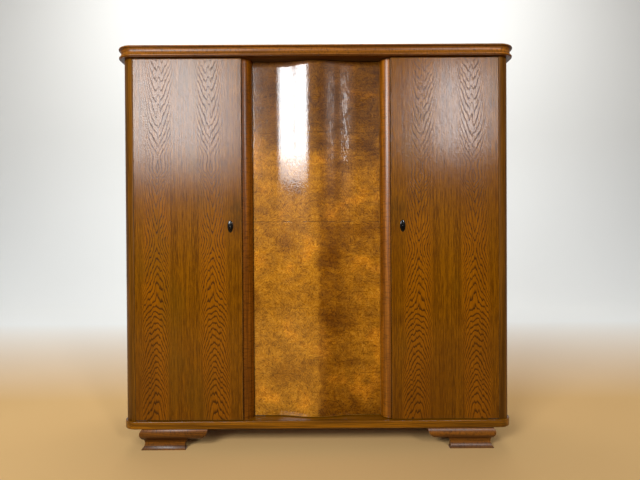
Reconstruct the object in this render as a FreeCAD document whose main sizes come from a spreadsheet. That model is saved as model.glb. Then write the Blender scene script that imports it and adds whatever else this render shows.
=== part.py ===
import FreeCAD, Part
import math
import os
import Sketcher

# Three-door wardrobe. X runs along the front from the middle, Y from front to back
# about the middle of the depth, and Z up from the floor. All sizes are millimetres.
os.makedirs("parts", exist_ok=True)
doc = FreeCAD.newDocument("Wardrobe")

SIZES = {
    # The whole
    "carcass_width": 1800,
    "carcass_depth": 560,
    "foot_height": 100,
    "base_height": 35,
    "carcass_height": 1685,
    "cornice_height": 50,
    # The front, from the side inwards
    "post_radius": 52,
    "pillar_radius": 44,
    "pillar_setback": 12,
    "centre_opening": 602,
    # Doors and the gaps round them
    "door_thickness": 22,
    "door_gap": 2,
    "door_end_gap": 4,
    "stop_gap": 0.5,
    "hinge_edge_chamfer": 7,
    "centre_door_thickness": 22,
    "centre_door_bow": 28,
    "centre_door_flat": 101,
    # Pivot hinges
    "pivot_inset": 10,
    "pivot_setback": 6,
    "pivot_pin_radius": 2.5,
    "pivot_pin_length": 12,
    "pivot_running_gap": 0.05,
    "pivot_hole_gap": 0.5,
    "pivot_plate_length": 46,
    "pivot_plate_width": 17,
    "pivot_plate_thickness": 1.8,
    "pivot_plate_margin": 2,
    # Foot
    "foot_inset": 72,
    "foot_front_overhang": 10,
    "foot_length": 315,
    "side_foot_length": 240,
    "foot_wing_length": 102,
    "foot_leg_spread": 12,
    "foot_board_thickness": 40,
    "foot_ovolo_height": 52,
    "foot_ovolo_radius": 33,
    "foot_step": 2,
    "foot_toe_inset": 8,
    "foot_toe_height": 4,
    "foot_cove_radius": 33,
    "foot_arch_height": 53,
    "foot_arch_radius": 37,
    "foot_end_radius": 48,
    "foot_end_inset": 30,
    "foot_block_size": 45,
    "foot_block_length": 90,
    "foot_block_height": 50,
    # Base frame
    "base_front_overhang": 11,
    "base_side_overhang": 7,
    "base_corner_radius": 60,
    "base_edge_radius": 3,
    "base_front_rail_width": 110,
    "base_side_rail_width": 150,
    "base_back_rail_width": 90,
    # Boards
    "floor_thickness": 18,
    "top_thickness": 18,
    "side_thickness": 22,
    "partition_thickness": 20,
    "back_thickness": 6,
    "back_rebate": 10,
    "back_inset": 3,
    "muntin_width": 50,
    "muntin_thickness": 18,
    "shelf_thickness": 18,
    "shelf_setback": 40,
    "batten_size": 20,
    "hat_shelf_drop": 250,
    # Garment rail
    "rail_radius": 14,
    "rail_drop": 60,
    "socket_wall": 3,
    "socket_depth": 16,
    "socket_flange_radius": 27,
    "socket_flange_thickness": 3,
    "rail_gap": 0.3,
    "hanger_width": 20,
    "hanger_plate_length": 70,
    "hanger_plate_thickness": 3,
    # Cornice
    "cornice_front_overhang": 27,
    "cornice_side_overhang": 25,
    "cornice_corner_radius": 79,
    "cornice_moulding_width": 45,
    "cornice_back_rail_width": 20,
    "cornice_panel_thickness": 18,
    "nose_radius": 4.5,
    "nose_step": 1.5,
    "cove_bottom": 13,
    "cove_bottom_inset": 7,
    "cove_radius": 27,
    "quirk_inset": 8,
    "bead_radius": 5,
    "bead_inset": 1,
    "bead_rise": 1,
    # Locks
    "keyhole_height": 1038,
    "keyhole_inset": 53,
    "keyhole_radius": 2.9,
    "keyhole_slot_width": 2.4,
    "keyhole_slot_length": 10,
    "keyhole_bore_gap": 0.6,
    "escutcheon_width": 26,
    "escutcheon_height": 56,
    "escutcheon_thickness": 4.5,
    "escutcheon_dome_radius": 3,
    "lock_width": 68,
    "lock_height": 70,
    "lock_depth": 13,
    "lock_wall": 1.5,
    "lock_edge_inset": 1,
    "lock_pin_radius": 1.3,
    "lock_pin_lead": 2,
    "lock_screw_bite": 8,
    "bolt_length": 40,
    "bolt_height": 18,
    "bolt_thickness": 6,
    "bolt_travel": 9,
    "bolt_gap": 0.4,
    "mortise_end_gap": 4,
    "strike_width": 15,
    "strike_height": 50,
    "strike_thickness": 1.5,
    # Slide bolts of the centre door
    "slide_bolt_radius": 4,
    "slide_bolt_length": 110,
    "slide_bolt_travel": 10,
    "slide_bolt_tip_gap": 2,
    "slide_bolt_running_gap": 0.08,
    "slide_hole_gap": 0.5,
    "slide_plate_length": 96,
    "slide_plate_width": 26,
    "slide_plate_thickness": 2,
    "slide_lug_length": 14,
    "slide_lug_width": 16,
    "slide_lug_cap": 3,
    "slide_plate_drop": 12,
    "slide_rod_lift": 6,
    "slide_knob_radius": 4.5,
    "slide_knob_length": 9,
    # Screws
    "screw_radius": 1.75,
    "screw_length": 16,
    "screw_head_radius": 3.6,
    "screw_head_height": 2,
    "screw_hole_gap": 0.1,
    "screw_edge": 5,
    "foot_screw_radius": 2.5,
    "foot_screw_length": 70,
    "foot_screw_head_radius": 5,
    "foot_screw_head_height": 3,
}

# Ratios, counts and the tolerance for finding edges, which no change of size alters
SHELF_COUNT = 4
BACK_SCREW_ROWS = 5
LOCK_SCREW_SHARE = 0.36
BLOCK_SCREW_SHARE = 0.25
HEAD_ROUND_SHARE = 0.6
MATCH_TOLERANCE = 1e-6

sheet = doc.addObject("Spreadsheet::Sheet", "Sizes")
for row, (name, number) in enumerate(SIZES.items(), start=1):
    sheet.set(f"A{row}", name)
    sheet.set(f"B{row}", str(number))
    sheet.setAlias(f"B{row}", name)
doc.recompute()


class Length:
    """A size, or a sum of sizes: its number and the words that the sheet reads."""

    def __init__(self, words, number):
        self.words = words
        self.number = number

    def __add__(self, other):
        other = as_length(other)
        return Length(f"({self.words} + {other.words})", self.number + other.number)

    def __sub__(self, other):
        other = as_length(other)
        return Length(f"({self.words} - {other.words})", self.number - other.number)

    def __mul__(self, ratio):
        ratio = as_length(ratio)
        return Length(f"({self.words} * {ratio.words})", self.number * ratio.number)

    def __truediv__(self, ratio):
        ratio = as_length(ratio)
        return Length(f"({self.words} / {ratio.words})", self.number / ratio.number)

    def __neg__(self):
        return Length(f"(0 - {self.words})", -self.number)


def as_length(value):
    return value if isinstance(value, Length) else Length(str(value), float(value))


def root(length):
    return Length(f"sqrt({length.words})", math.sqrt(length.number))


def size(name):
    return Length(f"Sizes.{name}", float(sheet.get(name)))


zero = as_length(0)
UPRIGHT = (0, 0, 1)

# Levels from the floor up
base_low = size("foot_height")
base_top = base_low + size("base_height")
cornice_low = base_top + size("carcass_height")
cornice_top = cornice_low + size("cornice_height")
floor_top = base_top + size("floor_thickness")
top_low = cornice_low - size("top_thickness")
door_low = base_top + size("door_end_gap")
door_high = cornice_low - size("door_end_gap")
middle_height = (base_top + cornice_low) / 2

# Planes from the front to the back
front = (size("cornice_front_overhang") - size("carcass_depth")) / 2
back = front + size("carcass_depth")
door_back = front + size("door_thickness")
stop_plane = door_back + size("stop_gap")
pillar_front = front + size("pillar_setback")
recess = pillar_front + size("pillar_radius")
centre_back = recess + size("centre_door_thickness")
centre_stop = centre_back + size("stop_gap")
post_back = front + size("post_radius")
panel_back = back - size("back_inset")
panel_front = panel_back - size("back_thickness")

# Places across the front, on the right half
half_width = size("carcass_width") / 2
post_inner = half_width - size("post_radius")
side_inner = half_width - size("side_thickness")
pillar_inner = size("centre_opening") / 2
pillar_outer = pillar_inner + size("pillar_radius")
door_hinge_edge = post_inner - size("door_gap")
door_free_edge = pillar_outer + size("door_gap")
partition_inner = pillar_outer - size("partition_thickness")


def bind(item, places):
    """Ties properties of an object to lengths of the sheet."""
    for name, length in places.items():
        item.setExpression(name, as_length(length).words)
    return item


def board(label, x, y, z):
    """A rectangular board between two places on each axis."""
    item = doc.addObject("Part::Box", label)
    return bind(item, {
        "Length": x[1] - x[0], "Width": y[1] - y[0], "Height": z[1] - z[0],
        "Placement.Base.x": x[0], "Placement.Base.y": y[0], "Placement.Base.z": z[0],
    })


def rod(label, radius, length, x, y, z, axis="z"):
    """A round rod from a point along an axis."""
    item = doc.addObject("Part::Cylinder", label)
    bind(item, {"Radius": radius, "Height": length})
    turns = {"z": (0, 0, 1), "x": (1, 0, 0), "y": (0, 1, 0)}
    item.Placement.Rotation = FreeCAD.Rotation(FreeCAD.Vector(0, 0, 1), FreeCAD.Vector(*turns[axis]))
    return bind(item, {"Placement.Base.x": x, "Placement.Base.y": y, "Placement.Base.z": z})


def cut(label, base, tools):
    """A piece with every tool's shape taken out of it."""
    tool = tools[0]
    if len(tools) > 1:
        tool = doc.addObject("Part::Compound", label + "_cutters")
        tool.Links = tools
    item = doc.addObject("Part::Cut", label)
    item.Base = base
    item.Tool = tool
    return item


def fuse(label, pieces):
    """One solid from overlapping or touching solids."""
    item = doc.addObject("Part::MultiFuse", label)
    item.Shapes = pieces
    item.Refine = True
    return item


def together(label, pieces):
    """One node that holds separate like solids."""
    item = doc.addObject("Part::Compound", label)
    item.Links = pieces
    return item


def mirror(label, source, normal=(1, 0, 0), height=None):
    """The mirror image of a piece, across the middle or across a level."""
    item = doc.addObject("Part::Mirroring", label)
    item.Source = source
    item.Normal = normal
    if height is not None:
        bind(item, {"Base.z": height})
    return item


def repeat(label, solid, places):
    """Copies of one solid at many places, as one node or one cutter."""
    item = doc.addObject("Part::Feature", label)
    copies = []
    for x, y, z in places:
        copy = solid.copy()
        copy.translate(FreeCAD.Vector(x.number, y.number, z.number))
        copies.append(copy)
    item.Shape = Part.makeCompound(copies)
    return item


def screw_solid(radius, length, head_radius, head_height, direction):
    """A domed head that sits on the surface at zero, with its shank ahead of it."""
    head = Part.makeCylinder(head_radius, head_height, FreeCAD.Vector(0, 0, -head_height))
    rim = min(head.Edges, key=lambda item: item.BoundBox.ZMax)
    head = head.makeFillet(head_height * HEAD_ROUND_SHARE, [rim])
    shank = Part.makeCylinder(radius, length)
    solid = head.fuse(shank).removeSplitter()
    turn = FreeCAD.Rotation(FreeCAD.Vector(0, 0, 1), FreeCAD.Vector(*direction))
    solid.Placement = FreeCAD.Placement(FreeCAD.Vector(), turn)
    return solid


def sketch_on(body, name, role, offset=zero):
    """A sketch on one of the body's own origin planes, moved along its normal."""
    sketch = body.newObject("Sketcher::SketchObject", name)
    plane = next(item for item in body.Origin.OriginFeatures if item.Role == role)
    sketch.AttachmentSupport = [(plane, "")]
    sketch.MapMode = "FlatFace"
    return bind(sketch, {"AttachmentOffset.Base.z": offset})


def fix_point(sketch, index, end, x, y):
    """Two constraints that tie a sketch point to lengths of the sheet."""
    for kind, length in (("DistanceX", x), ("DistanceY", y)):
        number = as_length(length).number
        place = sketch.addConstraint(Sketcher.Constraint(kind, -1, 1, index, end, number))
        sketch.setExpression(f"Constraints[{place}]", as_length(length).words)


def outline(sketch, corners, closed=True):
    """A closed outline or an open path. A corner is (x, y), or (x, y, radius) where an arc leads on.

    A positive radius curves to the left of the way round, and a negative one to the right.
    """
    count = len(corners)
    ends = []
    runs = corners if closed else corners[:-1]
    for place, corner in enumerate(runs):
        onward = corners[(place + 1) % count]
        start = FreeCAD.Vector(as_length(corner[0]).number, as_length(corner[1]).number, 0)
        finish = FreeCAD.Vector(as_length(onward[0]).number, as_length(onward[1]).number, 0)
        if len(corner) == 2:
            sketch.addGeometry(Part.LineSegment(start, finish), False)
            ends.append((1, 2))
            continue
        radius = corner[2].number
        chord = finish - start
        left = FreeCAD.Vector(-chord.y, chord.x, 0).normalize()
        reach = math.sqrt(max(radius * radius - (chord.Length / 2) ** 2, 0))
        centre = (start + finish) / 2 + left * (reach if radius > 0 else -reach)
        first, last = (start, finish) if radius > 0 else (finish, start)
        low = math.atan2(first.y - centre.y, first.x - centre.x)
        high = math.atan2(last.y - centre.y, last.x - centre.x)
        circle = Part.Circle(centre, FreeCAD.Vector(0, 0, 1), abs(radius))
        sketch.addGeometry(Part.ArcOfCircle(circle, low, high if high > low else high + 2 * math.pi), False)
        ends.append((1, 2) if radius > 0 else (2, 1))
    for place in range(len(runs) if closed else len(runs) - 1):
        onward = (place + 1) % count
        sketch.addConstraint(Sketcher.Constraint("Coincident", place, ends[place][1], onward, ends[onward][0]))
    if not closed:
        fix_point(sketch, len(runs) - 1, ends[-1][1], corners[-1][0], corners[-1][1])
    for place, corner in enumerate(runs):
        fix_point(sketch, place, ends[place][0], corner[0], corner[1])
        if len(corner) == 3:
            radius = corner[2] if corner[2].number > 0 else -corner[2]
            number = sketch.addConstraint(Sketcher.Constraint("Radius", place, radius.number))
            sketch.setExpression(f"Constraints[{number}]", radius.words)
    return sketch


def body_of(label):
    return doc.addObject("PartDesign::Body", label)


def pad(body, sketch, length, reversed_way=False):
    item = body.newObject("PartDesign::Pad", sketch.Name + "_pad")
    item.Profile = sketch
    item.Reversed = reversed_way
    return bind(item, {"Length": length})


def pocket_through(body, sketch):
    """Takes a sketch out of the body, through all of it both ways."""
    item = body.newObject("PartDesign::Pocket", sketch.Name + "_pocket")
    item.Profile = sketch
    item.Type = "ThroughAll"
    item.Midplane = True
    return item


def circle_in(sketch, x, y, radius):
    """A full circle at a place."""
    x, y = as_length(x), as_length(y)
    centre = FreeCAD.Vector(x.number, y.number, 0)
    index = sketch.addGeometry(Part.Circle(centre, FreeCAD.Vector(0, 0, 1), radius.number), False)
    fix_point(sketch, index, 3, x, y)
    number = sketch.addConstraint(Sketcher.Constraint("Radius", index, radius.number))
    sketch.setExpression(f"Constraints[{number}]", radius.words)
    return sketch


# Feet. Each front foot is a front board and a side return, mitred at the corner.
# Both show the same section: a round upper part, a small step, a hollow and a toe.
foot_outer = half_width - size("foot_inset")
foot_front = front - size("foot_front_overhang")
ovolo_low = base_low - size("foot_ovolo_height")
ovolo_reach = size("foot_ovolo_radius") - root(
    size("foot_ovolo_radius") * size("foot_ovolo_radius")
    - size("foot_ovolo_height") * size("foot_ovolo_height") / 4)


def foot_section(body, name, role, face, offset, way):
    """The moulded section, with its outermost line at face. way is 1 where inwards is positive."""
    inner = face + size("foot_board_thickness") * way
    bend = size("foot_ovolo_radius") * way
    cove = size("foot_cove_radius") * way
    return outline(sketch_on(body, name, role, offset), [
        (face + ovolo_reach * way, base_low, bend),
        (face + ovolo_reach * way, ovolo_low),
        (face + (ovolo_reach + size("foot_step")) * way, ovolo_low, -cove),
        (face + size("foot_toe_inset") * way, size("foot_toe_height")),
        (face + size("foot_toe_inset") * way, zero),
        (inner, zero),
        (inner, base_low),
    ])


def foot_cutout(body, name, role, outer, length, way):
    """The open space beside the leg, cut out of the foot board seen from its face."""
    end = outer - length * way
    toe = end + size("foot_wing_length") * way
    leg = toe - size("foot_leg_spread") * way
    past = end - size("foot_board_thickness") * way
    shoulder = end + size("foot_end_inset") * way
    leg_radius = size("foot_arch_radius") * way
    return outline(sketch_on(body, name, role), [
        (toe, -size("foot_board_thickness")),
        (toe, zero, leg_radius),
        (leg, size("foot_arch_height")),
        (shoulder, size("foot_arch_height"), -size("foot_end_radius") * way),
        (end, base_low),
        (past, base_low),
        (past, -size("foot_board_thickness")),
    ])


def mitre(body, name, from_front):
    """A triangle that takes the foot's corner off at 45 degrees, on the side of the other board."""
    reach = size("foot_board_thickness") * 2
    lead = (foot_outer + reach, foot_front - reach)
    far = (foot_outer - reach, foot_front + reach)
    third = (far[0], lead[1]) if from_front else (lead[0], far[1])
    return outline(sketch_on(body, name, "XY_Plane"), [lead, far, third])


def front_foot(label):
    """The right front foot board, which faces forwards."""
    body = body_of(label)
    pad(body, foot_section(body, label + "_section", "YZ_Plane", foot_front, foot_outer, 1),
        size("foot_length"), True)
    pocket_through(body, foot_cutout(body, label + "_arch", "XZ_Plane", foot_outer, size("foot_length"), 1))
    pocket_through(body, mitre(body, label + "_mitre", False))
    return body


def side_foot(label, corner, y_way, mitred):
    """A right-hand foot board that faces sideways, from its corner along the side."""
    body = body_of(label)
    sketch = foot_section(body, label + "_section", "XZ_Plane", foot_outer, -corner, -1)
    pad(body, sketch, size("side_foot_length"), y_way > 0)
    arch = foot_cutout(body, label + "_arch", "YZ_Plane", corner, size("side_foot_length"), -y_way)
    pocket_through(body, arch)
    if mitred:
        pocket_through(body, mitre(body, label + "_mitre", True))
    return body


front_right_foot = front_foot("front_right_foot")
right_front_return = side_foot("right_front_return", foot_front, 1, True)
right_rear_foot = side_foot("right_rear_foot", back, -1, False)
mirror("front_left_foot", front_right_foot)
mirror("left_front_return", right_front_return)
mirror("left_rear_foot", right_rear_foot)

# Glue blocks in the inner corner of each foot, screwed up into the base frame
foot_inner = foot_outer - size("foot_board_thickness")
block_low = base_low - size("foot_block_height")
block_x = (foot_inner - size("foot_block_length"), foot_inner)
front_block_y = (
    foot_front + size("foot_board_thickness"),
    foot_front + size("foot_board_thickness") + size("foot_block_size"),
)
rear_block_y = (back - size("foot_block_size"), back)
block_z = (block_low, base_low)


def block_middles():
    """The screw places in the four blocks, two in each."""
    places = []
    for way in (-1, 1):
        for block_y in (front_block_y, rear_block_y):
            for share in (BLOCK_SCREW_SHARE, 1 - BLOCK_SCREW_SHARE):
                x = (block_x[0] + (block_x[1] - block_x[0]) * share) * way
                places.append((x, (block_y[0] + block_y[1]) / 2, block_low))
    return places


foot_screws = screw_solid(
    size("foot_screw_radius").number, size("foot_screw_length").number,
    size("foot_screw_head_radius").number, size("foot_screw_head_height").number, (0, 0, 1))
repeat("foot_screws", foot_screws, block_middles())
foot_bore = Part.makeCylinder(
    size("foot_screw_radius").number + size("screw_hole_gap").number, size("foot_screw_length").number)
foot_bores = repeat("foot_screw_bores", foot_bore, block_middles())
right_blocks = together("right_foot_blocks", [
    board("right_front_block", block_x, front_block_y, block_z),
    board("right_rear_block", block_x, rear_block_y, block_z),
])
left_blocks = mirror("left_foot_blocks", right_blocks)
cut("foot_blocks", together("foot_block_set", [left_blocks, right_blocks]), [foot_bores])

# Base frame. Its front rail has rounded front corners and carries the doors' lower pivots.
base_face = front - size("base_front_overhang")
base_side = half_width + size("base_side_overhang")
base_front_back = base_face + size("base_front_rail_width")
base_corner = size("base_corner_radius")
base_front_body = body_of("base_front_solid")
base_sketch = outline(sketch_on(base_front_body, "base_front_outline", "XY_Plane", base_low), [
    (-base_side, base_front_back),
    (-base_side, base_face + base_corner, base_corner),
    (-base_side + base_corner, base_face),
    (base_side - base_corner, base_face, base_corner),
    (base_side, base_face + base_corner),
    (base_side, base_front_back),
])
base_pad = pad(base_front_body, base_sketch, size("base_height"))
doc.recompute()


def outer_edges(shape, levels, front_limit):
    """The names of the edges at the given heights that lie before a limit, apart from the back edge."""
    names = []
    for place, edge in enumerate(shape.Edges, start=1):
        box = edge.BoundBox
        flat = any(max(abs(box.ZMin - level), abs(box.ZMax - level)) < MATCH_TOLERANCE for level in levels)
        if flat and box.YMin < front_limit - MATCH_TOLERANCE:
            names.append(f"Edge{place}")
    return names


rounding = base_front_body.newObject("PartDesign::Fillet", "base_front_rounding")
rounding.Base = (base_pad, outer_edges(
    base_pad.Shape, (base_low.number, base_top.number), base_front_back.number))
bind(rounding, {"Radius": size("base_edge_radius")})
cut("base_front", base_front_body, [foot_bores])
side_rail_inner = base_side - size("base_side_rail_width")
back_rail_front = back - size("base_back_rail_width")
edge_radius = size("base_edge_radius")
right_rail_body = body_of("base_right_solid")
right_rail_sketch = outline(sketch_on(right_rail_body, "base_right_section", "XZ_Plane", -base_front_back), [
    (side_rail_inner, base_low),
    (base_side - edge_radius, base_low, edge_radius),
    (base_side, base_low + edge_radius),
    (base_side, base_top - edge_radius, edge_radius),
    (base_side - edge_radius, base_top),
    (side_rail_inner, base_top),
])
pad(right_rail_body, right_rail_sketch, back - base_front_back, True)
cut("base_right", right_rail_body, [foot_bores])
mirror("base_left", doc.getObject("base_right"))
back_rail_box = board(
    "base_back_board", (-side_rail_inner, side_rail_inner), (back_rail_front, back), (base_low, base_top))
cut("base_back", back_rail_box, [foot_bores])

# Back screws, which hold the three back panels to the carcass
joint_x = (pillar_outer + partition_inner) / 2
edge = size("screw_edge")
row_low = base_top + edge * 2
row_high = cornice_low - edge * 2
back_screw_places = []
for x in (side_inner + edge, joint_x + edge, joint_x - edge):
    for step in range(BACK_SCREW_ROWS):
        z = row_low + (row_high - row_low) * (step / (BACK_SCREW_ROWS - 1))
        back_screw_places.append((x, panel_back, z))
        back_screw_places.append((-x, panel_back, z))
back_screw = screw_solid(
    size("screw_radius").number, size("screw_length").number,
    size("screw_head_radius").number, size("screw_head_height").number, (0, -1, 0))
repeat("back_screws", back_screw, back_screw_places)
back_bore = Part.makeCylinder(
    size("screw_radius").number + size("screw_hole_gap").number, size("screw_length").number)
back_bore.Placement.Rotation = FreeCAD.Rotation(FreeCAD.Vector(0, 0, 1), FreeCAD.Vector(0, -1, 0))
back_bores = repeat("back_screw_bores", back_bore, back_screw_places)

# Slide bolt line, behind the free edge of the centre door
slide_x = (pillar_inner + pillar_outer) / 2
slide_y = centre_back + size("slide_plate_thickness") + size("slide_rod_lift")
slide_hole_radius = size("slide_bolt_radius") + size("slide_hole_gap")
slide_hole_depth = size("slide_bolt_travel") + size("slide_bolt_tip_gap")
top_slide_hole = rod("top_slide_hole", slide_hole_radius, slide_hole_depth, slide_x, slide_y, top_low)
floor_slide_hole = mirror("floor_slide_hole", top_slide_hole, UPRIGHT, middle_height)


def stepped_board(label, low, thickness):
    """The floor or top board, set back behind the centre door. Its front edge stops the doors."""
    body = body_of(label + "_solid")
    sketch = outline(sketch_on(body, label + "_outline", "XY_Plane", low), [
        (-post_inner, stop_plane),
        (-pillar_outer, stop_plane),
        (-pillar_outer, centre_stop),
        (door_free_edge, centre_stop),
        (door_free_edge, stop_plane),
        (post_inner, stop_plane),
        (post_inner, post_back),
        (side_inner, post_back),
        (side_inner, panel_front),
        (-side_inner, panel_front),
        (-side_inner, post_back),
        (-post_inner, post_back),
    ])
    pad(body, sketch, thickness)
    return body


floor_blank = stepped_board("floor_board", base_top, size("floor_thickness"))
cut("floor_board", floor_blank, [floor_slide_hole, back_bores])
top_blank = stepped_board("top_board", top_low, size("top_thickness"))
cut("top_board", top_blank, [top_slide_hole, back_bores])

# Sides with a rebate for the back panels, quarter-round front posts, partition and back
rebate_inner = side_inner + size("back_rebate")
right_side_body = body_of("right_side_solid")
right_side_sketch = outline(sketch_on(right_side_body, "right_side_outline", "XY_Plane", base_top), [
    (side_inner, post_back),
    (half_width, post_back),
    (half_width, back),
    (rebate_inner, back),
    (rebate_inner, panel_front),
    (side_inner, panel_front),
])
pad(right_side_body, right_side_sketch, size("carcass_height"))
cut("right_side", right_side_body, [back_bores])
mirror("left_side", doc.getObject("right_side"))

post = body_of("right_corner_post")
post_sketch = outline(sketch_on(post, "right_corner_post_outline", "XY_Plane", base_top), [
    (post_inner, front, size("post_radius")),
    (half_width, post_back),
    (post_inner, post_back),
])
pad(post, post_sketch, size("carcass_height"))
mirror("left_corner_post", post)

partition_box = board(
    "partition_board", (-pillar_outer, -partition_inner), (centre_back, panel_front), (floor_top, top_low))
partition = cut("partition", partition_box, [back_bores])
panel_z = (base_top, cornice_low)
panel_y = (panel_front, panel_back)
cut("right_back_panel", board("right_back_board", (joint_x, rebate_inner), panel_y, panel_z), [back_bores])
mirror("left_back_panel", doc.getObject("right_back_panel"))
cut("centre_back_panel", board("centre_back_board", (-joint_x, joint_x), panel_y, panel_z), [back_bores])
muntin_half = size("muntin_width") / 2
muntin_box = board(
    "back_muntin_board", (joint_x - muntin_half, joint_x + muntin_half),
    (panel_front - size("muntin_thickness"), panel_front), (floor_top, top_low))
cut("back_muntin", muntin_box, [back_bores])


# Pillars. The left one is fixed, the right one is the closing post of the centre door.
keyhole_z = size("keyhole_height")
bolt_front = door_back + size("lock_wall") + size("bolt_gap")
bolt_back = bolt_front + size("bolt_thickness")
bolt_low = keyhole_z - size("bolt_height") / 2
bolt_high = keyhole_z + size("bolt_height") / 2
bolt_gap = size("bolt_gap")
strike_y = (
    (bolt_front + bolt_back) / 2 - size("strike_width") / 2,
    (bolt_front + bolt_back) / 2 + size("strike_width") / 2,
)
strike_z = (keyhole_z - size("strike_height") / 2, keyhole_z + size("strike_height") / 2)
strike_x = (pillar_outer - size("strike_thickness"), pillar_outer)
mortise_y = (bolt_front - bolt_gap, bolt_back + bolt_gap)
mortise_z = (bolt_low - bolt_gap, bolt_high + bolt_gap)
mortise_x = (pillar_outer - size("bolt_travel") - size("mortise_end_gap"), pillar_outer)


def pillar(label, low, high):
    """A right-hand pillar: a square post with its front inner edge a quarter round."""
    body = body_of(label + "_post")
    sketch = outline(sketch_on(body, label + "_outline", "XY_Plane", low), [
        (pillar_inner, centre_back),
        (pillar_inner, recess, size("pillar_radius")),
        (pillar_outer, pillar_front),
        (pillar_outer, centre_back),
    ])
    sketch_pad = pad(body, sketch, high - low)
    sketch_pad.Label = label + "_length"
    recess_box = board(label + "_strike_seat", strike_x, strike_y, strike_z)
    mortise_box = board(label + "_mortise", mortise_x, mortise_y, mortise_z)
    return cut(label, body, [recess_box, mortise_box])


right_pillar = pillar("right_pillar", door_low, door_high)
mirror("left_pillar", pillar("left_pillar_unmirrored", base_top, cornice_low))
strike_box = board("strike_blank", strike_x, strike_y, strike_z)
strike_slot = board("strike_slot", strike_x, mortise_y, mortise_z)
right_strike = cut("right_strike_plate", strike_box, [strike_slot])
mirror("left_strike_plate", right_strike)

# Shelves in the left compartment, on battens, and the hat shelf on the right
shelf_y = (door_back + size("shelf_setback"), panel_front)
shelf_x = (-side_inner, -pillar_outer)
shelf_z = []
battens = []
bay = (top_low - floor_top - size("shelf_thickness") * SHELF_COUNT) / (SHELF_COUNT + 1)
for number in range(1, SHELF_COUNT + 1):
    low = floor_top + bay * number + size("shelf_thickness") * (number - 1)
    board(f"shelf_{number}", shelf_x, shelf_y, (low, low + size("shelf_thickness")))
    for place, (start, way) in enumerate(((shelf_x[0], 1), (shelf_x[1], -1))):
        near, far = start, start + size("batten_size") * way
        x = (near, far) if way > 0 else (far, near)
        battens.append(board(f"batten_{number}_{place}", x, shelf_y, (low - size("batten_size"), low)))
hat_low = top_low - size("hat_shelf_drop")
hat_x = (-partition_inner, side_inner)
hat_y = (centre_stop + size("shelf_setback"), panel_front - size("muntin_thickness"))
board("hat_shelf", hat_x, hat_y, (hat_low, hat_low + size("shelf_thickness")))
for place, (start, way) in enumerate(((hat_x[0], 1), (hat_x[1], -1))):
    near, far = start, start + size("batten_size") * way
    x = (near, far) if way > 0 else (far, near)
    battens.append(board(f"hat_batten_{place}", x, hat_y, (hat_low - size("batten_size"), hat_low)))
together("shelf_battens", battens)

# Garment rail in two sockets, with a hanger under the hat shelf at its middle
rail_y = (hat_y[0] + hat_y[1]) / 2
rail_z = hat_low - size("rail_drop")
rail_low = -partition_inner + size("socket_flange_thickness") + size("rail_gap")
rail_high = side_inner - size("socket_flange_thickness") - size("rail_gap")
rod("garment_rail", size("rail_radius"), rail_high - rail_low, rail_low, rail_y, rail_z, "x")
sleeve_radius = size("rail_radius") + size("rail_gap") + size("socket_wall")
bore_radius = size("rail_radius") + size("rail_gap")
sockets = []
for side, wall, way in (("left", -partition_inner, 1), ("right", side_inner, -1)):
    flange_x = wall if way > 0 else wall - size("socket_flange_thickness")
    sleeve_x = wall if way > 0 else wall - size("socket_depth")
    bore_x = wall + size("socket_flange_thickness") if way > 0 else sleeve_x
    sleeve = fuse(side + "_socket_blank", [
        rod(side + "_socket_flange", size("socket_flange_radius"), size("socket_flange_thickness"),
            flange_x, rail_y, rail_z, "x"),
        rod(side + "_socket_sleeve", sleeve_radius, size("socket_depth"), sleeve_x, rail_y, rail_z, "x"),
    ])
    bore_tool = rod(side + "_socket_bore", bore_radius, size("socket_depth") - size("socket_flange_thickness"),
                    bore_x, rail_y, rail_z, "x")
    sockets.append(cut(side + "_socket", sleeve, [bore_tool]))
together("rail_sockets", sockets)
rail_middle = (rail_low + rail_high) / 2
hanger_half = size("hanger_width") / 2
plate_half = size("hanger_plate_length") / 2
hanger_blank = fuse("rail_hanger_blank", [
    board("rail_hanger_plate", (rail_middle - plate_half, rail_middle + plate_half),
          (rail_y - hanger_half, rail_y + hanger_half),
          (hat_low - size("hanger_plate_thickness"), hat_low)),
    board("rail_hanger_neck", (rail_middle - hanger_half, rail_middle + hanger_half),
          (rail_y - hanger_half / 2, rail_y + hanger_half / 2),
          (rail_z, hat_low - size("hanger_plate_thickness"))),
    rod("rail_hanger_ring", sleeve_radius, size("hanger_width"),
        rail_middle - hanger_half, rail_y, rail_z, "x"),
])
cut("rail_hanger", hanger_blank, [
    rod("rail_hanger_bore", bore_radius, size("hanger_width"), rail_middle - hanger_half, rail_y, rail_z, "x")])

# Cornice frame. Its moulded section runs round both front corners and along the sides.
nose_face = front - size("cornice_front_overhang")
nose_side = half_width + size("cornice_side_overhang")
corner = size("cornice_corner_radius")
nose_low = cornice_top - size("nose_radius") * 2
cove_low = cornice_low + size("cove_bottom")
bead_low = cornice_low + size("bead_rise")
bead_high = bead_low + size("bead_radius") * 2


def cornice_section(body, name, role, face, offset, way):
    """The cornice moulding: nose, hollow, quirk and bead, from the top down."""
    nose = size("nose_radius")
    bead = size("bead_radius")
    bead_face = face + (size("bead_inset") + bead) * way
    return outline(sketch_on(body, name, role, offset), [
        (face + nose * way, cornice_top, nose * way),
        (face, nose_low + nose, nose * way),
        (face + nose * way, nose_low),
        (face + (nose + size("nose_step")) * way, nose_low, -size("cove_radius") * way),
        (face + size("cove_bottom_inset") * way, cove_low),
        (face + size("quirk_inset") * way, bead_high),
        (bead_face, bead_high, bead * way),
        (bead_face - bead * way, bead_low + bead, bead * way),
        (bead_face, bead_low),
        (bead_face, cornice_low),
        (face + size("cornice_moulding_width") * way, cornice_low),
        (face + size("cornice_moulding_width") * way, cornice_top),
    ])


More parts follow.
